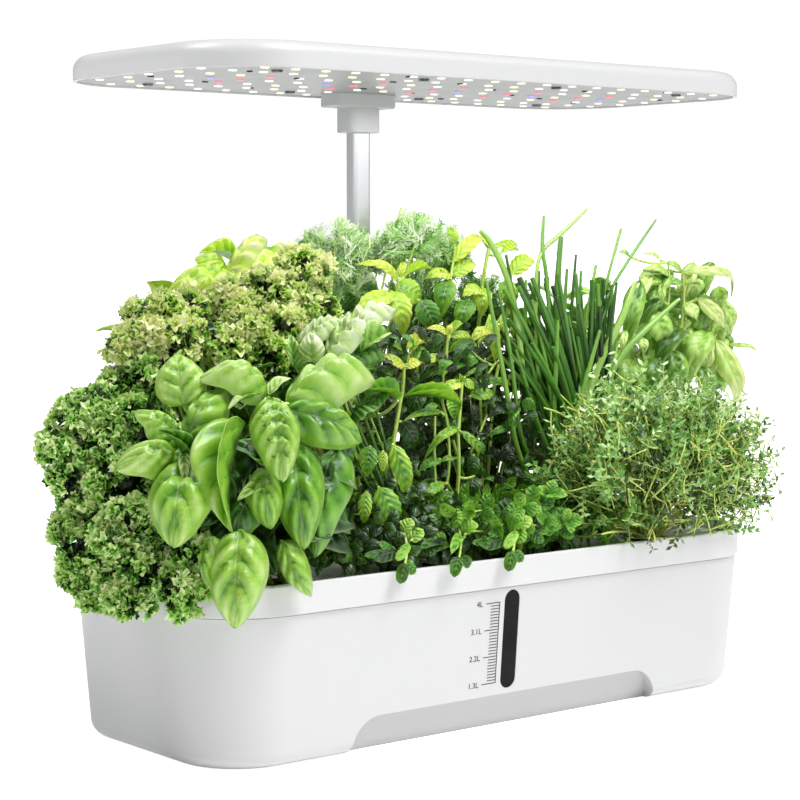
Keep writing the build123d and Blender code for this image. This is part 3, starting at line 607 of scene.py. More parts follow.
def leafShape(name, look, thick=0.0):
    # a leaf of unit length along Y and unit width across X, its upper side to +Z
    shape = bmesh.new()
    shape.loops.layers.uv.new("leaf")
    puckerPaintedLight = shape.verts.layers.float.new("tone")
    bmesh.ops.create_grid(
        shape, x_segments=look["across"], y_segments=look["along"], size=0.5, calc_uvs=True,
    )
    bulge, tipPull = look["outline"]
    peak = bulge / (bulge + tipPull)
    widest = peak**bulge * (1 - peak) ** tipPull
    for vert in shape.verts:
        side, t = vert.co.x * 2, min(max(vert.co.y + 0.5, 0), 1)
        half = 0.5 * t**bulge * (1 - t) ** tipPull / widest
        if look.get("teeth"):
            half *= 1 - look["toothDepth"] * (t * look["teeth"] % 1) * side**4
        pads = abs(math.sin(math.pi * (t * look.get("pads", 6) - abs(side) * look.get("slant", 1.6))))
        lift = look["arch"] * 4 * t * (1 - t)
        lift += 2 * half * (look["fold"] * abs(side) - look["drop"] * side**2)
        lift += look.get("pucker", 0) * (pads - 0.5) * (1 - side**2) * min(1, 4 * abs(side)) * half * 2.4
        phase = t * 6.28 * look.get("waves", 2) + (1.4 if side > 0 else 0)
        lift += look.get("wave", 0) * side**2 * math.sin(phase)
        lift -= look.get("nod", 0) * max(0, t - 0.6) ** 2 * 6
        drift = look.get("sway", 0) * math.sin(t * math.pi)
        # painted light and shade: the pucker pads lighter as highlights, the middle by the midrib darker,
        # the edges lighter
        vert[puckerPaintedLight] = look.get("puckerPaintedLight", 0) * ((pads - 0.6) * (1 - side**4) + 0.5 * abs(side) - 0.35)
        vert.co = (side * half + drift, t, lift)
    bmesh.ops.remove_doubles(shape, verts=shape.verts[:], dist=0.002)
    bmesh.ops.recalc_face_normals(shape, faces=shape.faces[:])
    if sum(face.normal.z for face in shape.faces) < 0:
        bmesh.ops.reverse_faces(shape, faces=shape.faces[:])
    if thick:
        bmesh.ops.solidify(shape, geom=shape.faces[:], thickness=thick)
    mesh = bpy.data.meshes.new(name)
    shape.to_mesh(mesh)
    shape.free()
    ownTone[name] = [0.0] * len(mesh.vertices)
    mesh.attributes["tone"].data.foreach_get("value", ownTone[name])
    return mesh


def leafShapes(name, look, *forms, thick=0.0):
    # a leaf form and its variants
    return [
        leafShape(name + str(index), {**look, **form}, thick) for index, form in enumerate(({}, *forms))
    ]


def curlShape(name, look):
    # a frilled fan, as one lobe of curled parsley: painted shade darkens its root, so its rim shows lighter
    shape = bmesh.new()
    shape.loops.layers.uv.new("leaf")
    bmesh.ops.create_grid(shape, x_segments=look["across"], y_segments=2, size=0.5, calc_uvs=True)
    tones = []
    for vert in shape.verts:
        side, t = vert.co.x * 2, vert.co.y + 0.5
        turn = side * look["spread"]
        frill = math.sin(side * math.pi * look["frills"] + look["phase"])
        finger = 1 if round((side + 1) * look["across"] / 2) % 2 else look["notch"]
        reach = 0.1 + 0.9 * t * (finger if t > 0.9 else 1)
        lift = look["curl"] * t * frill - look["roll"] * t * t
        vert.co = (reach * math.sin(turn), reach * math.cos(turn), lift)
        tones.append(look["rootShade"] * (t - 0.6))
    mesh = bpy.data.meshes.new(name)
    shape.to_mesh(mesh)
    shape.free()
    keepTone(mesh, tones)
    return mesh


def stemShape(name, runs, sides=0, smoothSteps=5, flat=False):
    # every stem of a plant: each run is its guiding points and its thickness at each
    lines = bpy.data.curves.new(name, "CURVE")
    lines.dimensions = "3D"
    if flat:
        lines.extrude = 1.0
    else:
        lines.bevel_depth, lines.bevel_resolution = 1.0, sides
    lines.use_fill_caps = not flat
    for points, radii in runs:
        spline = lines.splines.new("NURBS")
        spline.points.add(len(points) - 1)
        for guide, point, radius in zip(spline.points, points, radii):
            guide.co = (*point, 1)
            guide.radius = radius
        spline.order_u = min(3, len(points))
        spline.use_endpoint_u = True
        spline.resolution_u = smoothSteps
    carrier = bpy.data.objects.new(name, lines)
    mesh = bpy.data.meshes.new_from_object(carrier)
    bpy.data.objects.remove(carrier)
    keepTone(mesh, None)
    return mesh


def addPart(plant, part, matrix=None, tone=0.5, material=0):
    copy = part.copy()
    if matrix:
        copy.transform(matrix)
    own = ownTone.get(part.name)
    copy.attributes["tone"].data.foreach_set(
        "value", [tone + value for value in own] if own else [tone] * len(copy.vertices),
    )
    if material:
        copy.polygons.foreach_set("material_index", [material] * len(copy.polygons))
    plant.from_mesh(copy)
    bpy.data.meshes.remove(copy)


def headed(heading, upper, place, width, length, depth=None):
    # a frame whose Y runs along a leaf and whose Z leaves its upper side
    along = heading.normalized()
    facing = upper - along * upper.dot(along)
    facing = facing.normalized() if facing.length > 1e-6 else along.orthogonal().normalized()
    across = along.cross(facing)
    depth = depth or math.sqrt(width * length)
    turn = Matrix((across, along, facing)).transposed().to_4x4()
    return Matrix.Translation(place) @ turn @ Matrix.Diagonal((width, length, depth, 1))


towardView = (-ahead + up(0.75)).normalized()


def scatter(chance, x, y=None, z=None):
    # a random offset, spread by x, y and z
    return Vector([chance.gauss(0, x if spread is None else spread) for spread in (x, y, z)])


def anywhere(chance, *spans):
    # a random point, each coordinate within its span
    return Vector([chance.uniform(*span) for span in spans])


def anyDirection(chance, back, rise, spread):
    # a random direction, drawn towards the back and upwards
    return Vector((chance.gauss(0, 1), chance.gauss(back, 1), chance.gauss(rise, spread))).normalized()


def atSkin(centre, radii, outward, reach):
    # the point in a direction from the middle of an egg-shaped clump
    return centre + Vector([a * b for a, b in zip(outward, radii)]) * reach


def seenLeaf(plant, part, base, tip, widthPixels, tone, turn=0):
    # a leaf between two points of the view, turned about its own line
    start, end = seen(*base), seen(*tip)
    heading = end - start
    upper = Matrix.Rotation(math.radians(turn), 3, heading.normalized()) @ towardView
    width, length = spanAt(widthPixels, start), heading.length
    addPart(plant, part, headed(heading, upper, start, width, length, (width + length) / 2), tone)
    return start


def bend(path, t):
    # a point on the smooth curve through three guides, and its heading there
    a, b, c = path
    point = a * (1 - t) ** 2 + b * 2 * t * (1 - t) + c * t * t
    return point, ((b - a) * (1 - t) + (c - b) * t).normalized()


def growSprig(plant, stems, path, parts, look, chance):
    # opposite pairs of leaves up a stem, each pair a quarter turn from the last
    stems.append((path, [look["stem"], look["stem"] * 0.85, look["stem"] * 0.45]))
    spin = chance.uniform(0, math.pi)
    for index in range(look["pairs"]):
        t = look["from"] + (1 - look["from"]) * index / max(1, look["pairs"] - 1)
        point, heading = bend(path, t)
        rise = math.radians(look["riseLow"] + (look["riseTop"] - look["riseLow"]) * t**2)
        size = look["leaf"] * (1 - look["shrink"] * t**2) * chance.uniform(0.85, 1.15)
        first = heading.orthogonal().normalized()
        for half in range(2):
            around = spin + index * math.pi / 2 + half * math.pi + chance.uniform(-0.25, 0.25)
            out = Matrix.Rotation(around, 3, heading) @ first
            pitch = rise + chance.uniform(-0.2, 0.2)
            along = out * math.cos(pitch) + heading * math.sin(pitch)
            upper = heading * math.cos(pitch) - out * math.sin(pitch)
            # painted shade: leaves low on a sprig take the darker toneLow, those at the top the lighter
            # toneTop
            tone = look["toneLow"] + (look["toneTop"] - look["toneLow"]) * t + chance.uniform(-0.1, 0.1)
            width = size * look["wide"] * chance.uniform(0.9, 1.1)
            addPart(plant, chance.choice(parts), headed(along, upper, point, width, size), tone)


def growBush(plant, stems, pod, tops, bow, parts, look, chance):
    # a sprig from a pod to each of the tops
    for top in tops:
        root, top = podPoint(pod), Vector(top)
        growSprig(plant, stems, (root, (root + top) / 2 + up(bow), top), parts, look, chance)


def layLeaves(plant, parts, rows):
    # leaves seen one by one; returns where each one's stalk has to come
    return [seenLeaf(plant, parts[kind], *row) for kind, *row in rows]


def fillThicket(plant, parts, look, chance):
    # the leaves further in, between and behind those laid one by one
    for _ in range(look["leaves"]):
        u, v, y = [chance.uniform(*look[key]) for key in ("across", "down", "depth")]
        if "kept" in look and u > look["kept"][0] and v < look["kept"][1]:
            y = abs(y) + look["pushed"]
        du, dv = [chance.uniform(*look[key]) for key in ("tipAcross", "tipDown")]
        # painted shade: the further back a leaf stands, the darker its tone
        tone = chance.uniform(*look["tone"]) - look["fade"] * y
        part = parts[chance.randrange(2)]
        width, turn = [chance.uniform(*look[key]) for key in ("width", "turn")]
        seenLeaf(plant, part, (u, v, y), (u + du, v + dv, y - look["tipNearer"]), width, tone, turn)


def laySeenStalks(stems, root, stalks):
    # stalks seen one by one, each run on down to the pod unless it carries on from another
    tops = [stalk[0] for stalk in stalks]
    for top, middle, foot, depth, width in stalks:
        points = [seen(*spot, depth) for spot in (top, middle, foot)]
        radius = spanAt(width / 2, points[0])
        stems.append((points, (radius * 0.8, radius, radius)))
        if foot not in tops:
            stems.append(((points[2], points[2].lerp(root, 0.5), root), (radius, radius, radius)))


def joinUp(stems, root, bases, thick=0.0008):
    # a short stalk to every leaf base, from the nearest stem that passes below it
    knots = [root] + [bend(path, step / 6)[0] for path, _ in stems if len(path) == 3 for step in range(7)]
    for base in bases:
        below = [knot for knot in knots if knot.z < base.z + 0.001]
        near = min(below or [root], key=lambda knot: (knot - base).length)
        if (near - base).length > 0.002:
            sag = up(-0.15 * (near - base).length)
            stems.append(((near, (near + base) / 2 + sag, base), (thick * 1.2, thick, thick)))


def stalkTo(stems, root, goal, thick, bow=0.012):
    # a bare stalk from a pod to a point
    middle = (root + goal) / 2 + up(bow)
    stems.append(((root, middle, goal), (thick, thick * 0.85, thick * 0.6)))


def finishPlant(plant, stems, name, pod, skins, sides=0):
    if stems:
        lines = stemShape(name + "Stems", stems, sides)
        addPart(plant, lines, material=1, tone=0.5)
        bpy.data.meshes.remove(lines)
    piece = finishPiece(plant, name, "pod_" + pod, skins)
    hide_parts(podNodes[pod])
    print(name, len(piece.data.polygons), "faces")
    return piece


podNodes = {
    "11": "front_basil", "12": "crinkled_basil", "13": "oregano", "14": "thyme",
    "21": "dark_parsley", "22": "light_parsley", "23": "mint", "24": "chives",
    "31": "back_basil", "32": "dill", "33": "lemon_balm", "34": "pepper",
}
podX = (-0.132, -0.044, 0.044, 0.132)
podY = (-0.046, 0.0, 0.046)
deckTop = 0.088
rooted = 0.002  # how far down in the sponge a stalk starts


def podPoint(pod, lift=0.0):
    return Vector((podX[int(pod[1]) - 1], podY[int(pod[0]) - 1], deckTop + lift))


def rootPoint(pod):
    return podPoint(pod, -rooted)


paintedShadeCore = bpy.data.meshes.new("paintedShadeCore")
ball = bmesh.new()
bmesh.ops.create_icosphere(ball, subdivisions=2, radius=1)
for vert in ball.verts:
    vert.co *= 1 + 0.22 * math.sin(7 * vert.co.x + 3 * vert.co.z) * math.cos(6 * vert.co.y)
ball.to_mesh(paintedShadeCore)
ball.free()
keepTone(paintedShadeCore, None)


def addShadeCore(plant, centre, radii):
    # a dark blob inside a clump: painted shade standing for the deep shadow between dense leaves
    addPart(plant, paintedShadeCore, Matrix.Translation(centre) @ Matrix.Diagonal((*radii, 1)), tone=-0.4)


leafThick = 0.006  # of a broad leaf, as a share of its length
basilShape = {
    "across": 10, "along": 24, "outline": (0.5, 0.78), "arch": 0.2, "fold": 0.42, "drop": 0.66,
    "pucker": 0.13, "pads": 4, "slant": 1.5, "wave": 0.02, "waves": 2, "nod": 0.1, "puckerPaintedLight": 0.36,
}
basilLeaves = leafShapes(
    "basilLeaf", basilShape, {"arch": 0.28, "drop": 0.9, "nod": 0.26, "sway": 0.04},
    {"arch": 0.12, "fold": 0.3, "drop": 0.1, "sway": -0.05}, thick=leafThick,
)
blisteredLeaf = leafShape("blisteredLeaf", {
    **basilShape, "along": 30, "pucker": 0.18, "pads": 6, "wave": 0.04, "waves": 3, "arch": 0.24,
}, leafThick)
foldedShape = {**basilShape, "fold": 0.95, "drop": 0.35, "arch": 0.1, "sway": 0.08}
broadLeaves = [*basilLeaves, blisteredLeaf, leafShape("foldedLeaf", foldedShape, leafThick)]
smallShape = {**basilShape, "across": 4, "along": 8, "pads": 3}
smallLeaves = leafShapes(
    "smallLeaf", smallShape, {"nod": 0.26, "drop": 0.9}, {"fold": 0.3, "drop": 0.1},
)
mintShape = {
    "across": 4, "along": 12, "outline": (0.6, 0.85), "arch": 0.14, "fold": 0.35, "drop": 0.4,
    "teeth": 6, "toothDepth": 0.2, "pads": 6, "slant": 1.6, "pucker": 0.04, "nod": 0.25, "puckerPaintedLight": 0.3,
}
mintLeaves = leafShapes(
    "mintLeaf", mintShape, {"nod": 0.5, "arch": 0.2}, {"fold": 0.5, "drop": 0.0, "nod": 0.0},
)
roundShape = {
    "across": 4, "along": 8, "outline": (0.42, 0.45), "arch": 0.12, "fold": 0.2, "drop": 0.3,
    "pucker": 0.06, "pads": 4, "puckerPaintedLight": 0.3,
}
roundLeaves = leafShapes("roundLeaf", roundShape, {"drop": 0.0, "arch": 0.2})
pepperShape = {
    "across": 6, "along": 14, "outline": (0.7, 1.0), "arch": 0.18, "fold": 0.35, "drop": 0.35,
    "nod": 0.2, "wave": 0.02, "pads": 5, "slant": 1.3, "pucker": 0.05, "puckerPaintedLight": 0.3,
}
pepperLeaves = leafShapes("pepperLeaf", pepperShape, {"nod": 0.6, "sway": 0.08}, thick=leafThick)
curls = [
    curlShape("curl" + str(index), {
        "across": 8, "spread": spread, "frills": frills, "phase": phase, "notch": 0.62,
        "curl": 0.5, "roll": roll, "rootShade": 0.95,
    })
    for index, (spread, frills, phase, roll) in enumerate((
        (1.3, 1.5, 0, 0.35), (1.0, 1.5, 1.2, 0.15), (1.6, 2.0, 2.2, 0.5), (1.2, 2.0, 0.6, 0.0),
    ))
]
print("leaf shapes done")

# front basil

chance = random.Random(11)
plant, stems = bmesh.new(), []
frontBasil = [
    # shape, base, tip (pixel across, pixel down, depth), width in pixels, tone, turn if any; the tone
    # carries painted light and shade as each leaf shows it, and the dark leaves last in the list stand as
    # painted shade behind the others; the shapes of broad leaves are three open ones, a blistered and a
    # folded one
    (1, (186, 453, -0.060), (220, 383, -0.064), 46, 0.70, -10),
    (3, (178, 449, -0.056), (138, 409, -0.050), 38, 0.70, 15),
    (1, (176, 455, -0.060), (121, 462, -0.062), 42, 0.74, -15),
    (0, (190, 457, -0.064), (172, 544, -0.086), 70, 0.66, 4),
    (2, (184, 453, -0.068), (185, 484, -0.078), 12, 1.00),
    (4, (183, 455, -0.066), (160, 430, -0.070), 14, 0.30),
    (1, (268, 392, -0.070), (204, 368, -0.064), 36, 0.78, 25),
    (2, (263, 398, -0.070), (228, 407, -0.074), 16, 0.85, 30),
    (3, (269, 398, -0.078), (283, 480, -0.100), 50, 0.72, -4),
    (2, (269, 396, -0.076), (291, 377, -0.078), 16, 0.95, -20),
    (1, (286, 400, -0.070), (375, 364, -0.072), 46, 0.80, -20),
    (0, (286, 410, -0.074), (365, 440, -0.086), 52, 0.56, 15),
    (0, (184, 406, -0.058), (176, 352, -0.046), 52, 0.80),
    (4, (245, 422, -0.074), (229, 531, -0.092), 34, 0.70, 30),
    (1, (262, 468, -0.076), (270, 523, -0.094), 40, 0.66),
    (2, (272, 486, -0.080), (238, 498, -0.088), 18, 0.72),
    (0, (293, 440, -0.072), (304, 548, -0.094), 54, 0.52),
    (0, (338, 450, -0.060), (312, 554, -0.080), 48, 0.40, 18),
    (0, (240, 530, -0.086), (234, 628, -0.0965), 62, 0.76),
    (1, (214, 536, -0.076), (206, 588, -0.086), 22, 0.72, 25),
    (1, (282, 541, -0.084), (311, 599, -0.092), 30, 0.70, 20),
    (1, (252, 498, -0.070), (236, 537, -0.080), 34, 0.26),
    (0, (330, 420, -0.056), (350, 470, -0.058), 36, 0.25),
    (2, (300, 470, -0.060), (336, 515, -0.060), 40, 0.15),
    (0, (215, 470, -0.056), (214, 528, -0.058), 44, 0.15),
    (0, (250, 440, -0.056), (262, 492, -0.058), 40, 0.12),
]
layLeaves(plant, broadLeaves, frontBasil)
for goal in (
    (186, 454, -0.062), (268, 397, -0.074), (287, 403, -0.072), (240, 531, -0.084), (293, 440, -0.070),
    (184, 405, -0.056), (339, 450, -0.060), (282, 542, -0.082),
):
    root = rootPoint("11") + scatter(chance, 0.005, 0.005, 0)
    stalkTo(stems, root, seen(*goal), 0.0021)
basilFill = {
    "pairs": 5, "from": 0.35, "riseLow": -15, "riseTop": 40, "leaf": 0.036, "shrink": 0.35, "wide": 0.62,
    "stem": 0.0016, "toneLow": -0.15, "toneTop": 0.25,
}
basilTops = (
    (-0.190, -0.040, 0.150), (-0.170, -0.026, 0.168), (-0.145, -0.030, 0.182), (-0.120, -0.034, 0.172),
    (-0.150, -0.060, 0.150), (-0.125, -0.062, 0.140), (-0.180, -0.060, 0.130),
)
growBush(plant, stems, "11", basilTops, 0.015, basilLeaves, basilFill, chance)
finishPlant(plant, stems, "frontBasilPlant", "11", [basilSkin, smoothStem], sides=1)

# crinkled basil

chance = random.Random(12)
plant, stems = bmesh.new(), []
# the tone of each leaf carries painted light and shade as it shows
crinkledBasil = [
    (3, (326, 353, -0.040), (396, 305, -0.036), 32, 0.80, -10),
    (3, (300, 342, -0.034), (343, 319, -0.034), 26, 0.84),
    (0, (312, 362, -0.046), (311, 333, -0.050), 27, 0.82),
    (2, (294, 366, -0.040), (290, 334, -0.038), 14, 0.45, 20),
    (4, (360, 352, -0.044), (390, 333, -0.044), 28, 0.50),
    (3, (344, 362, -0.040), (386, 354, -0.040), 26, 0.26),
    (3, (330, 378, -0.034), (372, 388, -0.034), 30, 0.15),
]
for start in layLeaves(plant, broadLeaves, crinkledBasil):
    stalkTo(stems, rootPoint("12"), start, 0.0010, 0.006)
crinkledFill = {
    **basilFill, "leaf": 0.022, "wide": 0.7, "from": 0.7, "pairs": 3, "stem": 0.0008,
    "toneLow": -0.2, "toneTop": 0.3,
}
for goal in ((318, 372, -0.034), (300, 400, -0.030)):
    root, top = podPoint("12"), seen(*goal)
    path = (root, (root + top) / 2 + Vector((0.004, 0, 0.01)), top)
    growSprig(plant, stems, path, [blisteredLeaf, basilLeaves[1]], crinkledFill, chance)
lowFill = {
    **basilFill, "leaf": 0.014, "pairs": 7, "from": 0.25, "stem": 0.0008,
    "toneLow": -0.3, "toneTop": 0.05,
}
lowTops = (
    (-0.082, -0.062, 0.116), (-0.060, -0.068, 0.108), (-0.036, -0.064, 0.114), (-0.016, -0.066, 0.106),
    (-0.068, -0.036, 0.124), (-0.030, -0.030, 0.128), (-0.050, -0.050, 0.126), (-0.012, -0.040, 0.118),
    (-0.100, -0.060, 0.102), (-0.108, -0.045, 0.110), (-0.092, -0.030, 0.120), (-0.076, -0.076, 0.100),
    (-0.090, -0.050, 0.130), (-0.080, -0.040, 0.145), (-0.066, -0.030, 0.155), (-0.050, -0.028, 0.150),
    (-0.100, -0.030, 0.135), (-0.058, -0.058, 0.112), (-0.044, -0.040, 0.138), (-0.028, -0.048, 0.112),
)
growBush(plant, stems, "12", lowTops, 0.012, smallLeaves, lowFill, chance)
rimTops = (
    (312, 553, -0.056), (322, 560, -0.062), (334, 556, -0.056), (326, 547, -0.045), (350, 562, -0.064),
    (342, 550, -0.050), (304, 560, -0.064), (360, 556, -0.060),
)
growBush(plant, stems, "12", [seen(*spot) for spot in rimTops], 0.016, smallLeaves, lowFill, chance)
finishPlant(plant, stems, "crinkledBasilPlant", "12", [puckeredSkin, shadedStem], sides=1)

# back basil

chance = random.Random(31)
plant, stems = bmesh.new(), []
# the tone of each leaf carries painted light and shade as it shows
backBasil = [
    (0, (234, 272, 0.050), (160, 304, 0.050), 46, 0.66),
    (1, (227, 273, 0.046), (267, 232, 0.050), 24, 0.84),
    (4, (233, 262, 0.056), (200, 252, 0.058), 18, 0.5, 0),
    (1, (250, 264, 0.056), (302, 252, 0.058), 26, 0.50),
    (2, (228, 286, 0.044), (290, 258, 0.048), 26, 0.72),
    (0, (226, 292, 0.046), (178, 308, 0.046), 26, 0.50),
    (0, (226, 268, 0.052), (196, 258, 0.052), 26, 0.58),
]
for start in layLeaves(plant, broadLeaves, backBasil):
    stalkTo(stems, rootPoint("31"), start, 0.0020, 0.004)
backFill = {**basilFill, "leaf": 0.040, "wide": 0.66, "pairs": 6, "toneTop": 0.6}
backTops = (
    (-0.150, 0.055, 0.205), (-0.130, 0.065, 0.225), (-0.110, 0.055, 0.220), (-0.120, 0.040, 0.205),
    (-0.145, 0.070, 0.180), (-0.105, 0.070, 0.200),
)
growBush(plant, stems, "31", backTops, 0.01, basilLeaves, backFill, chance)
finishPlant(plant, stems, "backBasilPlant", "31", [limeSkin, smoothStem], sides=1)

# curled parsleys


def growCurls(plant, stems, root, clumps, look, chance):
    # tufts of frilled lobes over the skin of each clump, and a stalk to some
    for spot, half, tufts, brightness in clumps:
        centre = seen(*spot)
        radius = spanAt(half, centre)
        addShadeCore(plant, centre, [radius * look["shadeCore"]] * 3)
        for _ in range(int(tufts * look.get("crowding", 1.6))):
            while True:
                outward = scatter(chance, 1).normalized()
                if outward.z > look["floor"] and outward.dot(towardView) > look.get("turned", -0.55):
                    break
            tuft = centre + outward * radius * chance.uniform(0.7, 1.12)
            spread = look["tuft"] * chance.uniform(0.65, 1.15)
            # painted light: tufts facing up are lighter
            bright = brightness + look["topLight"] * outward.z + chance.uniform(-0.08, 0.08)
            if chance.random() < look["stalks"]:
                stems.append(((root, (root + tuft) / 2 + outward * 0.01, tuft), (0.0013, 0.0010, 0.0007)))
            for _ in range(look["lobes"]):
                push = (outward * 0.75 + scatter(chance, 0.6)).normalized()
                place = tuft + push * spread * chance.uniform(0.4, 1.0)
                heading = (push + scatter(chance, 0.5)).normalized()
                depth = (place - tuft).length / spread
                # painted light and shade: lobes deep in a tuft or turned sideways are darker, those facing
                # out lighter
                tone = bright + (depth - 0.75) * 0.6 + (push.dot(outward) - 0.72) * 1.3
                tone += chance.uniform(-0.12, 0.12)
                size = look["lobe"] * chance.uniform(0.7, 1.25)
                curl = chance.choice(curls)
                addPart(plant, curl, headed(heading, scatter(chance, 1), place, size, size, size), tone)


darkParsley = {
    "tuft": 0.0064, "lobes": 20, "lobe": 0.0038, "floor": -0.85, "stalks": 0.1,
    "topLight": 0.18, "shadeCore": 0.66,
}
darkClumps = [
    # middle of a clump (pixel across, pixel down, depth), half size in pixels, tufts, brightness, which
    # sets painted light and shade as well as the clump's tone
    ((150, 384, 0.000), 30, 20, 0.44), ((122, 398, 0.004), 24, 15, 0.46),
    ((98, 414, 0.000), 22, 14, 0.46), ((78, 424, 0.004), 18, 12, 0.50),
    ((56, 450, 0.002), 12, 8, 0.48), ((64, 484, 0.000), 13, 8, 0.46),
    ((104, 446, -0.006), 24, 16, 0.44), ((140, 430, -0.010), 32, 22, 0.40),
    ((90, 478, -0.004), 18, 11, 0.46), ((122, 482, -0.016), 28, 20, 0.46),
    ((160, 490, -0.020), 30, 16, 0.38),
]
fringeClumps = [
    ((92, 508, -0.006), 20, 15, 0.44), ((74, 530, 0.000), 13, 10, 0.48),
    ((92, 546, -0.010), 22, 16, 0.46), ((82, 572, -0.004), 13, 10, 0.46),
    ((98, 588, -0.010), 13, 10, 0.46), ((132, 534, -0.034), 27, 24, 0.56),
    ((166, 536, -0.044), 25, 16, 0.50), ((118, 576, -0.020), 18, 12, 0.48),
    ((134, 598, -0.036), 18, 14, 0.58), ((186, 590, -0.064), 18, 13, 0.54),
    ((196, 560, -0.062), 16, 9, 0.44), ((150, 566, -0.044), 18, 12, 0.50),
]
chance = random.Random(21)
for name, clumps in (("darkParsleyPlant", darkClumps), ("darkParsleyFringe", fringeClumps)):
    plant, stems = bmesh.new(), []
    growCurls(plant, stems, podPoint("21"), clumps, darkParsley, chance)
    finishPlant(plant, stems, name, "21", [parsleySkin, smoothStem])

paleParsley = {
    "tuft": 0.0062, "lobes": 20, "lobe": 0.0039, "floor": -0.6, "stalks": 0.2,
    "topLight": 0.26, "shadeCore": 0.62,
}
leftPaleClumps = [
    ((146, 342, 0.000), 16, 14, 0.74), ((124, 346, 0.004), 9, 8, 0.72),
    ((174, 344, -0.006), 15, 12, 0.62), ((164, 318, 0.010), 17, 12, 0.40),
    ((140, 322, 0.014), 12, 8, 0.40), ((202, 334, 0.000), 18, 14, 0.56),
    ((232, 312, 0.008), 21, 15, 0.58), ((192, 316, 0.018), 15, 9, 0.40),
]
chance = random.Random(22)
plant, stems = bmesh.new(), []
growCurls(plant, stems, podPoint("21"), leftPaleClumps, paleParsley, chance)
finishPlant(plant, stems, "paleParsleyTop", "21", [paleParsleySkin, smoothStem])

# dark clumps behind the front ones, standing as painted shade deep in the parsley
rearClumps = {
    "21": [
        ((150, 400, 0.034), 26, 15, 0.34), ((110, 430, 0.030), 24, 13, 0.34),
        ((150, 450, 0.036), 26, 13, 0.28), ((190, 430, 0.040), 22, 11, 0.28),
        ((120, 490, 0.028), 22, 12, 0.30), ((170, 500, 0.034), 24, 11, 0.24),
        ((180, 380, 0.030), 22, 11, 0.34),
    ],
    "22": [
        ((300, 330, 0.026), 22, 12, 0.30), ((270, 360, 0.026), 24, 12, 0.30),
        ((310, 380, 0.022), 24, 11, 0.20), ((290, 420, 0.020), 24, 11, 0.16),
        ((330, 440, 0.016), 22, 9, 0.10), ((320, 490, 0.012), 18, 7, 0.10),
    ],
}
rearParsley = {
    **darkParsley, "lobe": 0.0062, "tuft": 0.0100, "shadeCore": 0.7, "turned": -1, "crowding": 1.0,
}
for pod, clumps in rearClumps.items():
    plant, stems = bmesh.new(), []
    growCurls(plant, stems, podPoint(pod), clumps, rearParsley, chance)
    finishPlant(plant, stems, "parsleyRear" + pod, pod, [parsleySkin, smoothStem])

rightPaleClumps = [
    ((300, 286, 0.004), 27, 24, 0.64), ((266, 300, 0.004), 24, 20, 0.58),
    ((246, 334, -0.004), 21, 15, 0.52), ((278, 334, -0.010), 19, 14, 0.56),
    ((312, 314, -0.004), 18, 12, 0.36), ((230, 352, -0.010), 14, 7, 0.42),
    ((300, 352, -0.014), 20, 9, 0.22), ((268, 362, -0.014), 20, 9, 0.20),
]
plant, stems = bmesh.new(), []
growCurls(plant, stems, podPoint("22"), rightPaleClumps, paleParsley, chance)
finishPlant(plant, stems, "lightParsleyPlant", "22", [paleParsleySkin, smoothStem])

# mint

chance = random.Random(23)
plant, stems = bmesh.new(), []
mintStalks = [
    # three guides in pixels, their depth, width in pixels
    ((448, 325), (448, 349), (443, 374), -0.006, 3.5), ((443, 374), (443, 390), (442, 402), -0.008, 3.5),
    ((404, 368), (403, 390), (401, 398), -0.014, 4.5), ((401, 398), (397, 420), (393, 445), -0.018, 4.5),
    ((496, 362), (489, 374), (480, 382), -0.004, 3), ((499, 364), (495, 380), (493, 394), -0.002, 4),
    ((462, 384), (459, 420), (458, 434), -0.018, 4), ((458, 434), (460, 470), (457, 495), -0.022, 4),
    ((435, 416), (434, 450), (435, 481), -0.022, 3), ((446, 415), (452, 455), (447, 483), -0.020, 3),
    ((487, 415), (480, 432), (471, 452), -0.012, 3), ((439, 502), (441, 518), (446, 536), -0.030, 3),
    ((497, 511), (499, 520), (502, 531), -0.024, 3), ((379, 490), (386, 516), (392, 543), -0.028, 3.5),
    ((370, 416), (377, 434), (384, 452), -0.012, 2.5),
]
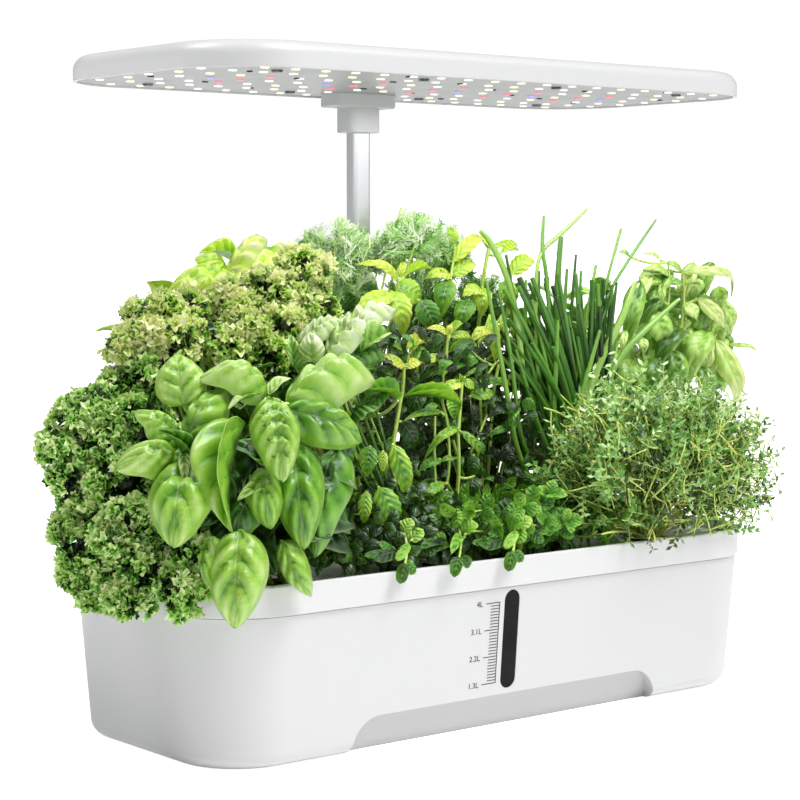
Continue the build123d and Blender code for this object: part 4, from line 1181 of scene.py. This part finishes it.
# the tone of each leaf carries painted light and shade as it shows
mintSeen = [
    (0, (448, 334, -0.004), (430, 326, -0.006), 11, 0.95),
    (0, (449, 336, -0.004), (473, 335, -0.006), 11, 0.80),
    (2, (450, 335, -0.004), (463, 324, -0.002), 9, 0.72),
    (1, (449, 334, -0.006), (451, 324, -0.008), 7, 0.95),
    (2, (447, 354, -0.004), (477, 347, -0.004), 9, 0.62),
    (1, (443, 357, -0.006), (416, 367, -0.010), 12, 0.78),
    (0, (447, 371, -0.006), (467, 363, -0.006), 8, 0.50),
    (1, (443, 373, -0.006), (423, 375, -0.010), 11, 0.25),
    (0, (404, 367, -0.014), (380, 355, -0.014), 15, 0.96),
    (0, (404, 367, -0.014), (422, 360, -0.016), 14, 0.92),
    (2, (402, 353, -0.010), (427, 343, -0.008), 13, 0.94),
    (1, (410, 366, -0.012), (426, 343, -0.006), 9, 0.60),
    (1, (409, 353, -0.010), (424, 336, -0.008), 7, 0.95),
    (0, (406, 352, -0.010), (388, 342, -0.010), 7, 0.70),
    (0, (462, 382, -0.014), (440, 392, -0.018), 15, 0.90),
    (0, (463, 382, -0.014), (476, 387, -0.016), 13, 0.82),
    (2, (461, 383, -0.014), (459, 373, -0.016), 8, 0.72),
    (1, (464, 377, -0.012), (482, 368, -0.010), 5, 0.60),
    (1, (489, 331, 0.000), (473, 336, -0.004), 15, 0.92),
    (1, (490, 314, 0.002), (497, 362, -0.004), 14, 0.82),
    (1, (503, 314, 0.004), (502, 337, 0.000), 7, 0.85),
    (1, (515, 322, 0.004), (513, 335, 0.002), 6, 0.75),
    (0, (486, 382, -0.004), (514, 383, -0.004), 11, 0.62),
    (0, (470, 396, -0.010), (498, 394, -0.010), 17, 0.68),
    (2, (398, 400, -0.046), (358, 390, -0.046), 16, 0.52),
    (2, (402, 397, -0.018), (461, 405, -0.024), 10, 0.62),
    (0, (441, 412, -0.020), (405, 417, -0.022), 9, 0.62),
    (1, (388, 386, -0.046), (364, 414, -0.046), 22, 0.34),
    (0, (401, 421, -0.016), (418, 448, -0.020), 20, 0.14),
    (1, (370, 446, -0.048), (366, 475, -0.050), 20, 0.52),
    (1, (383, 451, -0.048), (383, 471, -0.050), 11, 0.80),
    (1, (393, 444, -0.048), (409, 496, -0.052), 22, 0.66),
    (1, (379, 487, -0.052), (396, 530, -0.056), 28, 0.56),
    (1, (366, 492, -0.052), (364, 524, -0.054), 15, 0.66),
    (2, (375, 489, -0.020), (363, 466, -0.018), 6, 0.55),
    (2, (376, 489, -0.020), (383, 473, -0.018), 5, 0.55),
    (2, (454, 398, -0.018), (454, 420, -0.022), 16, 0.55),
    (1, (458, 428, -0.020), (427, 449, -0.026), 11, 0.62),
    (1, (461, 431, -0.020), (484, 456, -0.024), 11, 0.62),
    (0, (440, 459, -0.020), (420, 468, -0.024), 13, 0.50),
    (0, (454, 458, -0.020), (441, 460, -0.022), 8, 0.55),
    (0, (444, 483, -0.024), (416, 501, -0.030), 14, 0.58),
    (1, (447, 490, -0.024), (450, 520, -0.030), 20, 0.44),
    (1, (474, 455, -0.018), (473, 477, -0.020), 14, 0.24),
    (1, (474, 476, -0.020), (470, 496, -0.024), 20, 0.18),
    (2, (484, 506, -0.022), (503, 494, -0.020), 4, 0.60),
    (1, (507, 480, -0.012), (508, 496, -0.016), 14, 0.34),
    (1, (420, 392, -0.006), (412, 412, -0.010), 20, 0.16),
    (1, (470, 350, 0.004), (462, 374, 0.000), 18, 0.22),
    (1, (425, 470, -0.014), (432, 492, -0.018), 20, 0.10),
]
laySeenStalks(stems, rootPoint("23"), mintStalks)
bases = layLeaves(plant, mintLeaves, mintSeen)
mintFill = {
    "pairs": 5, "from": 0.2, "riseLow": -20, "riseTop": 30, "leaf": 0.013, "shrink": 0.25, "wide": 0.62,
    # dark tones all the way up: this fill stands as painted shade inside the mint
    "stem": 0.0009, "toneLow": -0.35, "toneTop": -0.08,
}
mintTops = (
    (0.012, 0.010, 0.185), (0.030, -0.004, 0.175), (0.055, 0.010, 0.195), (0.070, -0.004, 0.175),
    (0.010, -0.006, 0.150), (0.045, 0.006, 0.205), (0.078, 0.010, 0.185), (-0.004, 0.006, 0.165),
    (0.025, 0.010, 0.150), (0.060, 0.000, 0.150), (-0.012, -0.010, 0.130), (-0.025, -0.012, 0.118),
)
growBush(plant, stems, "23", mintTops, 0, mintLeaves, mintFill, chance)
joinUp(stems, rootPoint("23"), bases)
mintThicket = {
    # pixels across and down, depth; "kept" is the corner where the chives stand in front
    "leaves": 620, "across": (366, 540), "down": (326, 525), "depth": (-0.016, 0.030),
    "kept": (500, 400), "pushed": 0.02, "tipAcross": (-15, 15), "tipDown": (-4, 20),
    "tipNearer": 0.005, "tone": (-0.2, 0.38), "fade": 8, "width": (8, 15), "turn": (-40, 40),
}
fillThicket(plant, mintLeaves, mintThicket, chance)
finishPlant(plant, stems, "mintPlant", "23", [mintSkin, smoothStem], sides=1)

# lemon balm

chance = random.Random(33)
plant, stems = bmesh.new(), []
balmStalks = [
    ((489, 248), (485, 266), (482, 287), 0.034, 4), ((482, 287), (480, 310), (478, 330), 0.032, 4),
    ((451, 276), (450, 300), (446, 320), 0.032, 3.5), ((398, 281), (400, 300), (402, 320), 0.028, 3),
    ((511, 276), (509, 300), (506, 320), 0.032, 3),
]
# the tone of each leaf carries painted light and shade as it shows
balmSeen = [
    (1, (398, 281, 0.030), (366, 258, 0.028), 14, 0.98),
    (1, (400, 278, 0.032), (405, 258, 0.034), 9, 0.98),
    (2, (404, 277, 0.030), (431, 269, 0.030), 10, 0.82),
    (0, (451, 276, 0.034), (428, 274, 0.030), 18, 0.86),
    (0, (451, 276, 0.034), (477, 260, 0.032), 20, 0.80),
    (1, (453, 262, 0.034), (486, 231, 0.036), 17, 0.95),
    (1, (481, 236, 0.036), (494, 249, 0.032), 9, 0.92),
    (0, (492, 247, 0.036), (520, 243, 0.038), 8, 0.80),
    (2, (500, 254, 0.036), (518, 251, 0.036), 9, 1.00),
    (1, (511, 275, 0.034), (535, 254, 0.036), 21, 0.90),
    (1, (391, 291, 0.026), (405, 332, 0.014), 30, 0.88),
    (0, (392, 294, 0.024), (356, 311, 0.018), 25, 0.92),
    (0, (482, 290, 0.030), (465, 292, 0.026), 20, 0.84),
    (1, (483, 288, 0.030), (482, 311, 0.022), 20, 0.82),
    (0, (395, 286, 0.030), (424, 300, 0.022), 30, 0.60, 10),
    (1, (449, 280, 0.030), (440, 312, 0.022), 24, 0.36),
    (1, (470, 300, 0.024), (458, 326, 0.018), 22, 0.30),
    (0, (420, 300, 0.022), (436, 330, 0.016), 26, 0.30),
    (1, (505, 280, 0.030), (512, 308, 0.024), 22, 0.52),
    (1, (455, 244, 0.038), (450, 226, 0.040), 12, 0.72),
]
laySeenStalks(stems, rootPoint("33"), balmStalks)
bases = layLeaves(plant, mintLeaves, balmSeen)
balmFill = {
    **mintFill, "leaf": 0.016, "wide": 0.7, "toneLow": -0.4, "toneTop": 0.25, "pairs": 7, "from": 0.3,
}
balmTops = (
    (0.030, 0.050, 0.215), (0.050, 0.062, 0.235), (0.075, 0.050, 0.230), (0.060, 0.040, 0.210),
    (0.035, 0.068, 0.195), (0.080, 0.070, 0.210), (0.020, 0.045, 0.185), (0.045, 0.034, 0.195),
    (0.070, 0.030, 0.190), (0.030, 0.030, 0.180), (0.056, 0.028, 0.165), (0.086, 0.034, 0.200),
    (0.094, 0.050, 0.215), (0.040, 0.024, 0.150), (0.074, 0.024, 0.150),
)
growBush(plant, stems, "33", balmTops, 0, mintLeaves, balmFill, chance)
joinUp(stems, rootPoint("33"), bases)
balmThicket = {
    "leaves": 220, "across": (384, 506), "down": (320, 505), "depth": (0.034, 0.052),
    "tipAcross": (-16, 16), "tipDown": (2, 22), "tipNearer": 0,
    # dark tones: these leaves stand as painted shade behind the lemon balm's lit ones
    "tone": (-0.45, 0.0), "fade": 0, "width": (13, 21), "turn": (-30, 30),
}
fillThicket(plant, mintLeaves, balmThicket, chance)
finishPlant(plant, stems, "lemonBalmPlant", "33", [balmSkin, smoothStem], sides=1)

# oregano

chance = random.Random(13)
plant, stems = bmesh.new(), []
oreganoMotif = [
    # base and tip with their depths, width, tone of one trailing sprig, repeated along the rim; the tone
    # carries painted light and shade as each leaf shows it
    ((405, 563, -0.087), (400, 584, -0.089), 13, 0.30), ((406, 563, -0.086), (415, 574, -0.089), 12, 0.36),
    ((409, 543, -0.074), (397, 561, -0.084), 11, 0.70), ((409, 541, -0.070), (423, 529, -0.072), 15, 0.74),
    ((404, 533, -0.066), (411, 518, -0.066), 14, 0.84), ((392, 549, -0.070), (379, 544, -0.070), 12, 0.50),
    ((396, 552, -0.072), (374, 560, -0.076), 16, 0.20), ((390, 552, -0.072), (364, 556, -0.074), 10, 0.34),
    ((434, 539, -0.066), (446, 546, -0.072), 13, 0.48), ((424, 545, -0.070), (434, 556, -0.080), 12, 0.26),
]
oreganoStep = (54.0, -6.2)
oreganoTrail = ((400, 522, -0.056), (410, 542, -0.074), (405, 564, -0.087))
oreganoSide = ((410, 541, -0.073), (420, 535, -0.068), (434, 539, -0.066))
for shift in range(3):
    du, dv = oreganoStep[0] * shift, oreganoStep[1] * shift
    for base, tip, width, tone in oreganoMotif:
        base = (base[0] + du, base[1] + dv, base[2])
        tip = (tip[0] + du, tip[1] + dv, tip[2])
        seenLeaf(plant, roundLeaves[shift % 2], base, tip, width, tone + chance.uniform(-0.08, 0.08))
    trail = [seen(u + du, v + dv, y) for u, v, y in oreganoTrail]
    stems.append((trail, (0.0008, 0.0008, 0.0007)))
    root = rootPoint("13")
    stems.append(((root, (root + trail[0]) / 2 + up(0.008), trail[0]), (0.0009, 0.0009, 0.0008)))
    side = [seen(u + du, v + dv, y) for u, v, y in oreganoSide]
    stems.append((side, (0.0006, 0.0006, 0.0005)))
oreganoFill = {
    "pairs": 7, "from": 0.2, "riseLow": -10, "riseTop": 35, "leaf": 0.0125, "shrink": 0.3, "wide": 0.8,
    "stem": 0.0009, "toneLow": -0.1, "toneTop": 0.62,
    "sprigs": 54, "spread": ((-0.088, 0.082), (-0.074, -0.022), (0.096, 0.124)),
}
for _ in range(oreganoFill["sprigs"]):
    root = podPoint("13") + scatter(chance, 0.003, 0.003, 0)
    top = anywhere(chance, *oreganoFill["spread"])
    middle = (root + top) / 2 + up(chance.uniform(0.004, 0.016))
    growSprig(plant, stems, (root, middle, top), roundLeaves, oreganoFill, chance)
finishPlant(plant, stems, "oreganoPlant", "13", [oreganoSkin, smoothStem])

# pepper

chance = random.Random(34)
plant, stems = bmesh.new(), []
# the tone of each leaf carries painted light and shade as it shows
pepperSeen = [
    (1, (683, 272, 0.024), (745, 281, 0.016), 12, 0.88),
    (0, (682, 271, 0.026), (664, 261, 0.030), 9, 0.66),
    (0, (660, 260, 0.032), (645, 252, 0.032), 5, 0.80),
    (0, (668, 276, 0.030), (645, 267, 0.028), 13, 0.72),
    (0, (662, 282, 0.028), (645, 286, 0.026), 5, 0.60),
    (1, (662, 282, 0.028), (662, 305, 0.024), 9, 0.84),
    (0, (663, 282, 0.028), (685, 285, 0.026), 11, 0.52),
    (0, (660, 297, 0.026), (650, 298, 0.024), 8, 0.45),
    (0, (686, 285, 0.026), (704, 286, 0.024), 5, 0.70),
    (1, (683, 305, 0.026), (702, 318, 0.020), 18, 0.80),
    (0, (697, 298, 0.026), (727, 328, 0.018), 17, 0.92, 15),
    (1, (640, 280, 0.028), (628, 345, 0.020), 22, 0.40),
    (1, (652, 276, 0.030), (624, 320, 0.024), 16, 0.92),
    (1, (679, 327, 0.026), (659, 359, 0.018), 27, 0.20),
    (1, (708, 330, 0.024), (690, 374, 0.016), 29, 0.62),
    (1, (715, 339, 0.022), (746, 406, 0.010), 24, 0.88),
    (1, (711, 341, 0.022), (708, 362, 0.018), 11, 0.90),
    (0, (728, 345, 0.016), (760, 350, 0.006), 6, 0.80),
    (0, (626, 330, 0.024), (621, 352, 0.020), 8, 0.85),
    (1, (654, 312, 0.026), (668, 346, 0.020), 27, 0.62),
    (1, (660, 359, 0.020), (650, 387, 0.012), 18, 0.26),
    (1, (643, 338, 0.022), (645, 353, 0.018), 11, 0.80),
    (0, (629, 256, 0.032), (620, 251, 0.032), 7, 0.50),
    (1, (672, 350, 0.026), (684, 388, 0.018), 24, 0.34),
    (1, (720, 300, 0.028), (738, 330, 0.022), 16, 0.72),
    (1, (700, 366, 0.024), (716, 398, 0.018), 22, 0.44),
]
pepperStalks = [
    ((668, 262), (672, 290), (664, 330), 0.028, 3), ((683, 272), (686, 300), (680, 340), 0.026, 3),
    ((710, 340), (700, 360), (684, 380), 0.024, 3),
]
laySeenStalks(stems, rootPoint("34"), pepperStalks)
bases = layLeaves(plant, pepperLeaves, pepperSeen)
pepperFill = {
    "pairs": 6, "from": 0.3, "riseLow": -30, "riseTop": 20, "leaf": 0.036, "shrink": 0.3, "wide": 0.45,
    "stem": 0.0016, "toneLow": 0.1, "toneTop": 0.55,
}
pepperTops = (
    (0.120, 0.060, 0.215), (0.150, 0.050, 0.225), (0.185, 0.055, 0.225), (0.210, 0.045, 0.215),
    (0.170, 0.040, 0.200), (0.140, 0.070, 0.190), (0.200, 0.068, 0.190), (0.220, 0.045, 0.180),
    (0.235, 0.050, 0.205), (0.165, 0.070, 0.215), (0.190, 0.068, 0.214), (0.150, 0.067, 0.202),
    (0.205, 0.066, 0.200),
)
growBush(plant, stems, "34", pepperTops, 0.02, pepperLeaves, pepperFill, chance)
pepperCrown = {
    "leaves": 78, "across": (626, 726), "down": (262, 372), "depth": (0.030, 0.052), "tipAcross": (-20, 22),
    "tipDown": (16, 40), "tipNearer": 0.008, "width": (14, 24), "tone": (0.3, 1.0), "turn": (-25, 25),
}
for _ in range(pepperCrown["leaves"]):
    u, v, y, du, dv = [
        chance.uniform(*pepperCrown[key]) for key in ("across", "down", "depth", "tipAcross", "tipDown")
    ]
    row = [chance.randrange(2), (u, v, y), (u + du, v + dv, y - pepperCrown["tipNearer"])]
    row += [chance.uniform(*pepperCrown[key]) for key in ("width", "tone", "turn")]
    bases += layLeaves(plant, pepperLeaves, [row])
joinUp(stems, rootPoint("34"), bases)
finishPlant(plant, stems, "pepperPlant", "34", [pepperSkin, smoothStem], sides=1)

# chives

chance = random.Random(24)
plant, stems = bmesh.new(), []
chiveBlades = [
    # guides in pixels from foot to tip, the tip's depth, width in pixels, tone, which carries painted light
    # and shade as each blade shows it
    (((525, 502), (502, 363), (486, 280)), -0.012, 5.5, 0.68),
    (((524, 486), (511, 343), (498, 290)), -0.010, 4.5, 0.52),
    (((527, 425), (517, 302), (492, 240), (480, 231)), 0.004, 6.5, 0.80),
    (((529, 435), (520, 330), (506, 255)), 0.0, 5, 0.25),
    (((532, 424), (524, 314), (526, 280)), 0.004, 4.5, 0.55),
    (((541, 420), (538, 333), (539, 271)), 0.004, 5, 0.42),
    (((550, 439), (551, 333), (546, 267), (541, 249), (544, 216)), 0.006, 4, 0.58),
    (((538, 430), (535, 282), (540, 250), (562, 234), (587, 209)), 0.010, 4, 0.82),
    (((556, 435), (555, 302), (561, 237)), 0.012, 8, 0.46),
    (((549, 404), (549, 340), (548, 277)), 0.004, 5, 0.86),
    (((561, 435), (562, 343), (567, 269)), 0.008, 5, 0.50),
    (((562, 435), (570, 326), (576, 255)), 0.004, 4.5, 0.22),
    (((568, 433), (578, 343), (581, 271)), 0.002, 4.5, 0.45),
    (((564, 435), (582, 343), (596, 265)), 0.002, 6, 0.74),
    (((572, 433), (594, 326), (621, 229)), 0.004, 4, 0.62),
    (((574, 424), (600, 310), (623, 267), (656, 220)), 0.006, 3.5, 0.46),
    (((578, 420), (602, 355), (623, 318), (635, 282)), -0.006, 8.5, 0.84),
    (((590, 414), (620, 355), (649, 326), (678, 300)), -0.008, 7, 0.70),
    (((545, 436), (530, 350), (512, 300)), -0.002, 5, 0.40),
    (((556, 436), (545, 350), (532, 300)), -0.004, 5, 0.62),
    (((566, 436), (590, 350), (610, 300)), -0.002, 5, 0.36),
    (((570, 436), (586, 380), (600, 330)), -0.010, 6, 0.66),
    (((552, 436), (556, 370), (558, 320)), -0.008, 6, 0.58),
    (((540, 436), (528, 390), (516, 350)), -0.010, 5, 0.50),
]
taper = 0.55  # how much of its width a blade keeps at the tip
blades = []
for guides, depth, width, tone in chiveBlades:
    last = len(guides)
    points = [rootPoint("24") + scatter(chance, 0.004, 0.004, 0)]
    points += [seen(*guide, -0.006 + (depth + 0.006) * step / last) for step, guide in enumerate(guides, 1)]
    radius = spanAt(width / 2, points[1])
    blades.append((points, [radius] * last + [radius * taper], tone))
chiveFill = {
    "blades": 110, "tips": ((500, 618), (272, 370), (-0.010, 0.012)), "radius": (0.0014, 0.0024),
    "tone": (0.05, 0.6),
}
for _ in range(chiveFill["blades"]):
    foot = podPoint("24") + scatter(chance, 0.007, 0.005, 0)
    tip = seen(*[chance.uniform(*span) for span in chiveFill["tips"]])
    middle = foot.lerp(tip, 0.55) + Vector(((foot.x - tip.x) * 0.25, 0, 0))
    radius = chance.uniform(*chiveFill["radius"])
    radii = (radius, radius, radius * taper)
    blades.append(([foot, middle, tip], radii, chance.uniform(*chiveFill["tone"])))
for points, radii, tone in blades:
    blade = stemShape("blade", [(points, radii)], sides=1, smoothSteps=8)
    addPart(plant, blade, tone=tone)
    bpy.data.meshes.remove(blade)
finishPlant(plant, stems, "chivesPlant", "24", [chiveSkin, smoothStem])

# thyme

chance = random.Random(14)
thymeCounts = {"shapes": 6, "sprigs": 900, "stems": 90, "twigs": 150}
thymeSprig = {"length": 0.040, "pairs": 9, "leaf": 0.0048, "wide": 0.5}
thymeLeaf = leafShape("thymeLeaf", {
    "across": 2, "along": 2, "outline": (0.5, 0.6), "arch": 0.1, "fold": 0.2, "drop": 0.3,
})
sprigs = []
for _ in range(thymeCounts["shapes"]):
    sprig = bmesh.new()
    bow = chance.uniform(-0.3, 0.3)
    path = (Vector((0, 0, 0)), Vector((bow * 0.3, 0.5, 0.08)), Vector((bow, 1, chance.uniform(0.0, 0.2))))
    line = stemShape("line", [(path, (0.010, 0.009, 0.006))], sides=0, smoothSteps=3)
    addPart(sprig, line, material=1)
    bpy.data.meshes.remove(line)
    for pair in range(thymeSprig["pairs"]):
        t = 0.2 + 0.8 * pair / (thymeSprig["pairs"] - 1)
        point, heading = bend(path, t)
        around = pair * math.pi / 2 + chance.uniform(-0.3, 0.3)
        for half in (0, math.pi):
            out = Matrix.Rotation(around + half, 3, heading) @ heading.orthogonal().normalized()
            along = (out + heading * chance.uniform(0.3, 0.9)).normalized()
            size = thymeSprig["leaf"] / thymeSprig["length"] * chance.uniform(0.75, 1.3)
            width = size * thymeSprig["wide"]
            addPart(sprig, thymeLeaf, headed(along, heading - out * 0.3, point, width, size), 0.5)
    mesh = bpy.data.meshes.new("sprig")
    sprig.to_mesh(mesh)
    sprig.free()
    sprigs.append(mesh)
plant, stems = bmesh.new(), []
thymeMound = {"centre": Vector((0.128, -0.058, 0.128)), "radii": Vector((0.084, 0.042, 0.056))}
overRim = {"sprigTip": 0.098, "sprigBase": 0.095, "twigTip": 0.102, "twigBase": 0.096}  # lowest heights
for _ in range(thymeCounts["sprigs"]):
    outward = anyDirection(chance, 0, 0.25, 0.9)
    if outward.z < -0.6:
        outward.z *= -1
    reach = chance.uniform(0.6, 1.0)
    tip = atSkin(**thymeMound, outward=outward, reach=reach)
    tip.z = max(tip.z, overRim["sprigTip"])
    heading = (outward * 0.7 + scatter(chance, 0.5, 0.4, 0.4) + up(0.35)).normalized()
    length = thymeSprig["length"] * chance.uniform(0.6, 1.1)
    base = tip - heading * length * 0.8
    base.z = max(base.z, overRim["sprigBase"])
    # painted light and shade: sprigs facing up are lighter, those deep inside the mound darker
    tone = chance.uniform(0.05, 0.82) + 0.15 * outward.z - (1.0 - reach) * 1.2
    sprig = chance.choice(sprigs)
    addPart(plant, sprig, headed(tip - base, scatter(chance, 1), base, length, length, length), tone)
for _ in range(thymeCounts["stems"]):
    root = podPoint("14") + scatter(chance, 0.004, 0.004, 0)
    reach = anywhere(chance, (-0.080, 0.080), (-0.045, 0.028), (0.01, 0.085))
    knee = root + Vector((reach.x * 0.5, reach.y * 0.5, reach.z * 0.9))
    stems.append(((root, knee, root + reach), (0.0009, 0.0008, 0.0005)))
for _ in range(thymeCounts["twigs"]):
    outward = anyDirection(chance, -0.7, 0.2, 0.9)
    tip = atSkin(**thymeMound, outward=outward, reach=chance.uniform(0.92, 1.03))
    tip.z = max(tip.z, overRim["twigTip"])
    start = tip - (outward * 0.5 + scatter(chance, 0.7)).normalized() * chance.uniform(0.010, 0.024)
    start.z = max(start.z, overRim["twigBase"])
    knee = (start + tip) / 2 + scatter(chance, 0.002)
    stems.append(((start, knee, tip), (0.0005, 0.0005, 0.0003)))
finishPlant(plant, stems, "thymePlant", "14", [thymeSkin, thymeStem])

# dill

chance = random.Random(32)
dillCounts = {"shapes": 5, "pairs": 8, "stalks": 26}
fronds = []
for index in range(dillCounts["shapes"]):
    threads = [((Vector((0, 0, 0)), Vector((0.02, 0.5, 0.06)), Vector((0, 1, 0))), (0.016, 0.015, 0.008))]
    for step in range(dillCounts["pairs"]):
        t = 0.15 + 0.85 * step / dillCounts["pairs"]
        start = Vector((0, t, 0.06 * math.sin(math.pi * t)))
        for side in (-1, 1):
            reach = 0.46 * (1.15 - t) * chance.uniform(0.7, 1.3)
            forward = reach * chance.uniform(0.5, 1.1)
            end = start + Vector((side * reach, forward, chance.uniform(-0.15, 0.15)))
            knee = (start + end) / 2 + Vector((0, 0.04, 0.05))
            threads.append(((start, knee, end), (0.020, 0.018, 0.010)))
            fork = (start + end) / 2
            tip = fork + Vector((side * reach * 0.1, reach * 0.6, chance.uniform(-0.12, 0.12)))
            threads.append(((fork, (fork + tip) / 2, tip), (0.018, 0.016, 0.008)))
    fronds.append(stemShape("frond" + str(index), threads, flat=True, smoothSteps=2))
plant, stems = bmesh.new(), []
dillClumps = [
    # middle (pixel across, pixel down, depth), half sizes, fronds, brightness, which sets painted light and
    # shade as well as the clump's tone
    ((330, 262, 0.054), (0.022, 0.020, 0.022), 170, 0.56),
    ((410, 246, 0.042), (0.022, 0.018, 0.018), 150, 0.56),
    ((372, 262, 0.056), (0.024, 0.016, 0.014), 90, 0.50),
    ((340, 300, 0.050), (0.030, 0.016, 0.020), 70, 0.35),
    ((440, 262, 0.048), (0.020, 0.012, 0.020), 70, 0.40),
    ((425, 310, 0.040), (0.034, 0.012, 0.026), 110, 0.14),
    ((478, 320, 0.048), (0.026, 0.012, 0.034), 100, 0.12),
    ((330, 380, 0.052), (0.026, 0.014, 0.040), 60, 0.20),
    ((322, 460, 0.046), (0.020, 0.014, 0.034), 60, 0.20),
    ((318, 510, 0.046), (0.016, 0.012, 0.020), 40, 0.20),
]
bracketLow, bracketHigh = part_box("lamp_bracket")
bracketRoom = {"side": 0.012, "front": 0.011, "drop": 0.055}


def besideBracket(point):
    # a point brought forward, out of the way of the bracket as the lamp comes down
    beside = abs(point.x) > bracketHigh.x + bracketRoom["side"]
    if not beside and point.z > bracketLow.z - bracketRoom["drop"] - bracketRoom["side"]:
        point.y = min(point.y, bracketLow.y - bracketRoom["front"])
    return point


for spot, radii, count, brightness in dillClumps:
    centre = seen(*spot)
    addShadeCore(plant, centre, [radius * 0.45 for radius in radii])
    for _ in range(count):
        outward = anyDirection(chance, 0, 0.3, 1)
        if outward.z < -0.5:
            outward.z *= -1
        place = atSkin(centre, radii, outward, chance.uniform(0.35, 0.85))
        heading = (outward + scatter(chance, 0.5, 0.5, 0.4) + up(0.1)).normalized()
        length = chance.uniform(0.014, 0.024)
        # painted light: fronds facing up are lighter
        tone = brightness + 0.2 * outward.z + chance.uniform(-0.45, 0.4)
        start = besideBracket(place) - heading * length * 0.6
        if (start + heading * length).z > bracketLow.z - bracketRoom["drop"] and heading.y > 0:
            heading.y, start.y = -heading.y, place.y + heading.y * length * 0.6
        frond = chance.choice(fronds)
        addPart(plant, frond, headed(heading, scatter(chance, 1), start, length, length, length), tone)
for _ in range(dillCounts["stalks"]):
    root = podPoint("32") + scatter(chance, 0.003, 0.003, 0)
    goal = seen(*chance.choice(dillClumps[:6])[0]) + scatter(chance, 0.012, 0.008, 0.012)
    goal = besideBracket(goal)
    stems.append(((root, (root + goal) / 2, goal), (0.0012, 0.0010, 0.0006)))
finishPlant(plant, stems, "dillPlant", "32", [dillSkin, smoothStem])
print("plants done")

# floor and light

studio = {
    "floorSize": 30,
    "floorGlow": (0.15, 0.8),  # for other rays, and for those of the camera
    "sun": {"strength": 2.7, "angle": math.radians(30), "tilt": (math.radians(26), math.radians(20), 0)},
    "behind": ("#ffffff", 1.05),
    "around": ("#f4f6fa", 0.25),
}
paper, tree = startMaterial("palePaperSweep")
where = addNode(tree, "TexCoord")
fibres = addNode(tree, "TexNoise", {"Vector": where.outputs["Object"], "Scale": 400.0, "Detail": 2.0})
tint = addNode(tree, "ValToRGB", {"Fac": fibres})
setStops(tint.color_ramp, [(0.3, "#fbfbfb"), (0.7, "#ffffff")])
skin = addNode(tree, "BsdfPrincipled", {
    "Base Color": tint, "Roughness": 0.9, "Specular IOR Level": 0.1,
})
seenRays = addNode(tree, "LightPath")
lift = addNode(tree, "MapRange", {
    "Value": seenRays, "To Min": studio["floorGlow"][0], "To Max": studio["floorGlow"][1],
})
glow = addNode(tree, "Emission", {"Color": "#ffffff", "Strength": lift})
both = addNode(tree, "AddShader", {0: skin, 1: glow})
addNode(tree, "OutputMaterial", {"Surface": both})
sweep = bmesh.new()
bmesh.ops.create_grid(sweep, x_segments=1, y_segments=1, size=studio["floorSize"])
floorMesh = bpy.data.meshes.new("floor")
sweep.to_mesh(floorMesh)
sweep.free()
floorMesh.materials.append(paper)
floor = bpy.data.objects.new("floor", floorMesh)
scene.collection.objects.link(floor)

lights = {
    # strength, width and depth, place, aim
    "frontBox": (2.2, (1.0, 1.0), (0.75, -1.60, 0.55), (0, 0, 0.12)),
    "leafSheen": (5.0, (0.35, 0.35), (-0.60, 0.30, 1.20), (0, 0, 0.15)),
    "lampGlow": (0.4, (0.36, 0.09), (0.0, -0.025, 0.340), (0, -0.025, 0.0)),
}
for name, (strength, size, place, aim) in lights.items():
    lamp = bpy.data.lights.new(name, "AREA")
    lamp.shape, lamp.energy = "RECTANGLE", strength
    lamp.size, lamp.size_y = size
    box = bpy.data.objects.new(name, lamp)
    box.location = place
    box.rotation_euler = (Vector(aim) - Vector(place)).to_track_quat("-Z", "Y").to_euler()
    box.visible_camera = False
    scene.collection.objects.link(box)
sunLamp = bpy.data.lights.new("skySun", "SUN")
sunLamp.energy, sunLamp.angle = studio["sun"]["strength"], studio["sun"]["angle"]
sun = bpy.data.objects.new("skySun", sunLamp)
sun.rotation_euler = studio["sun"]["tilt"]
scene.collection.objects.link(sun)

world = bpy.data.worlds.new("studio")
world.use_nodes = True
tree = world.node_tree
tree.nodes.clear()
rays = addNode(tree, "LightPath")
behind, around = [
    addNode(tree, "Background", dict(zip(("Color", "Strength"), studio[key])))
    for key in ("behind", "around")
]
both = addNode(tree, "MixShader", {0: rays, 1: around, 2: behind})
addNode(tree, "OutputWorld", {"Surface": both})
scene.world = world
scene.view_settings.view_transform = "Standard"
print("light done")
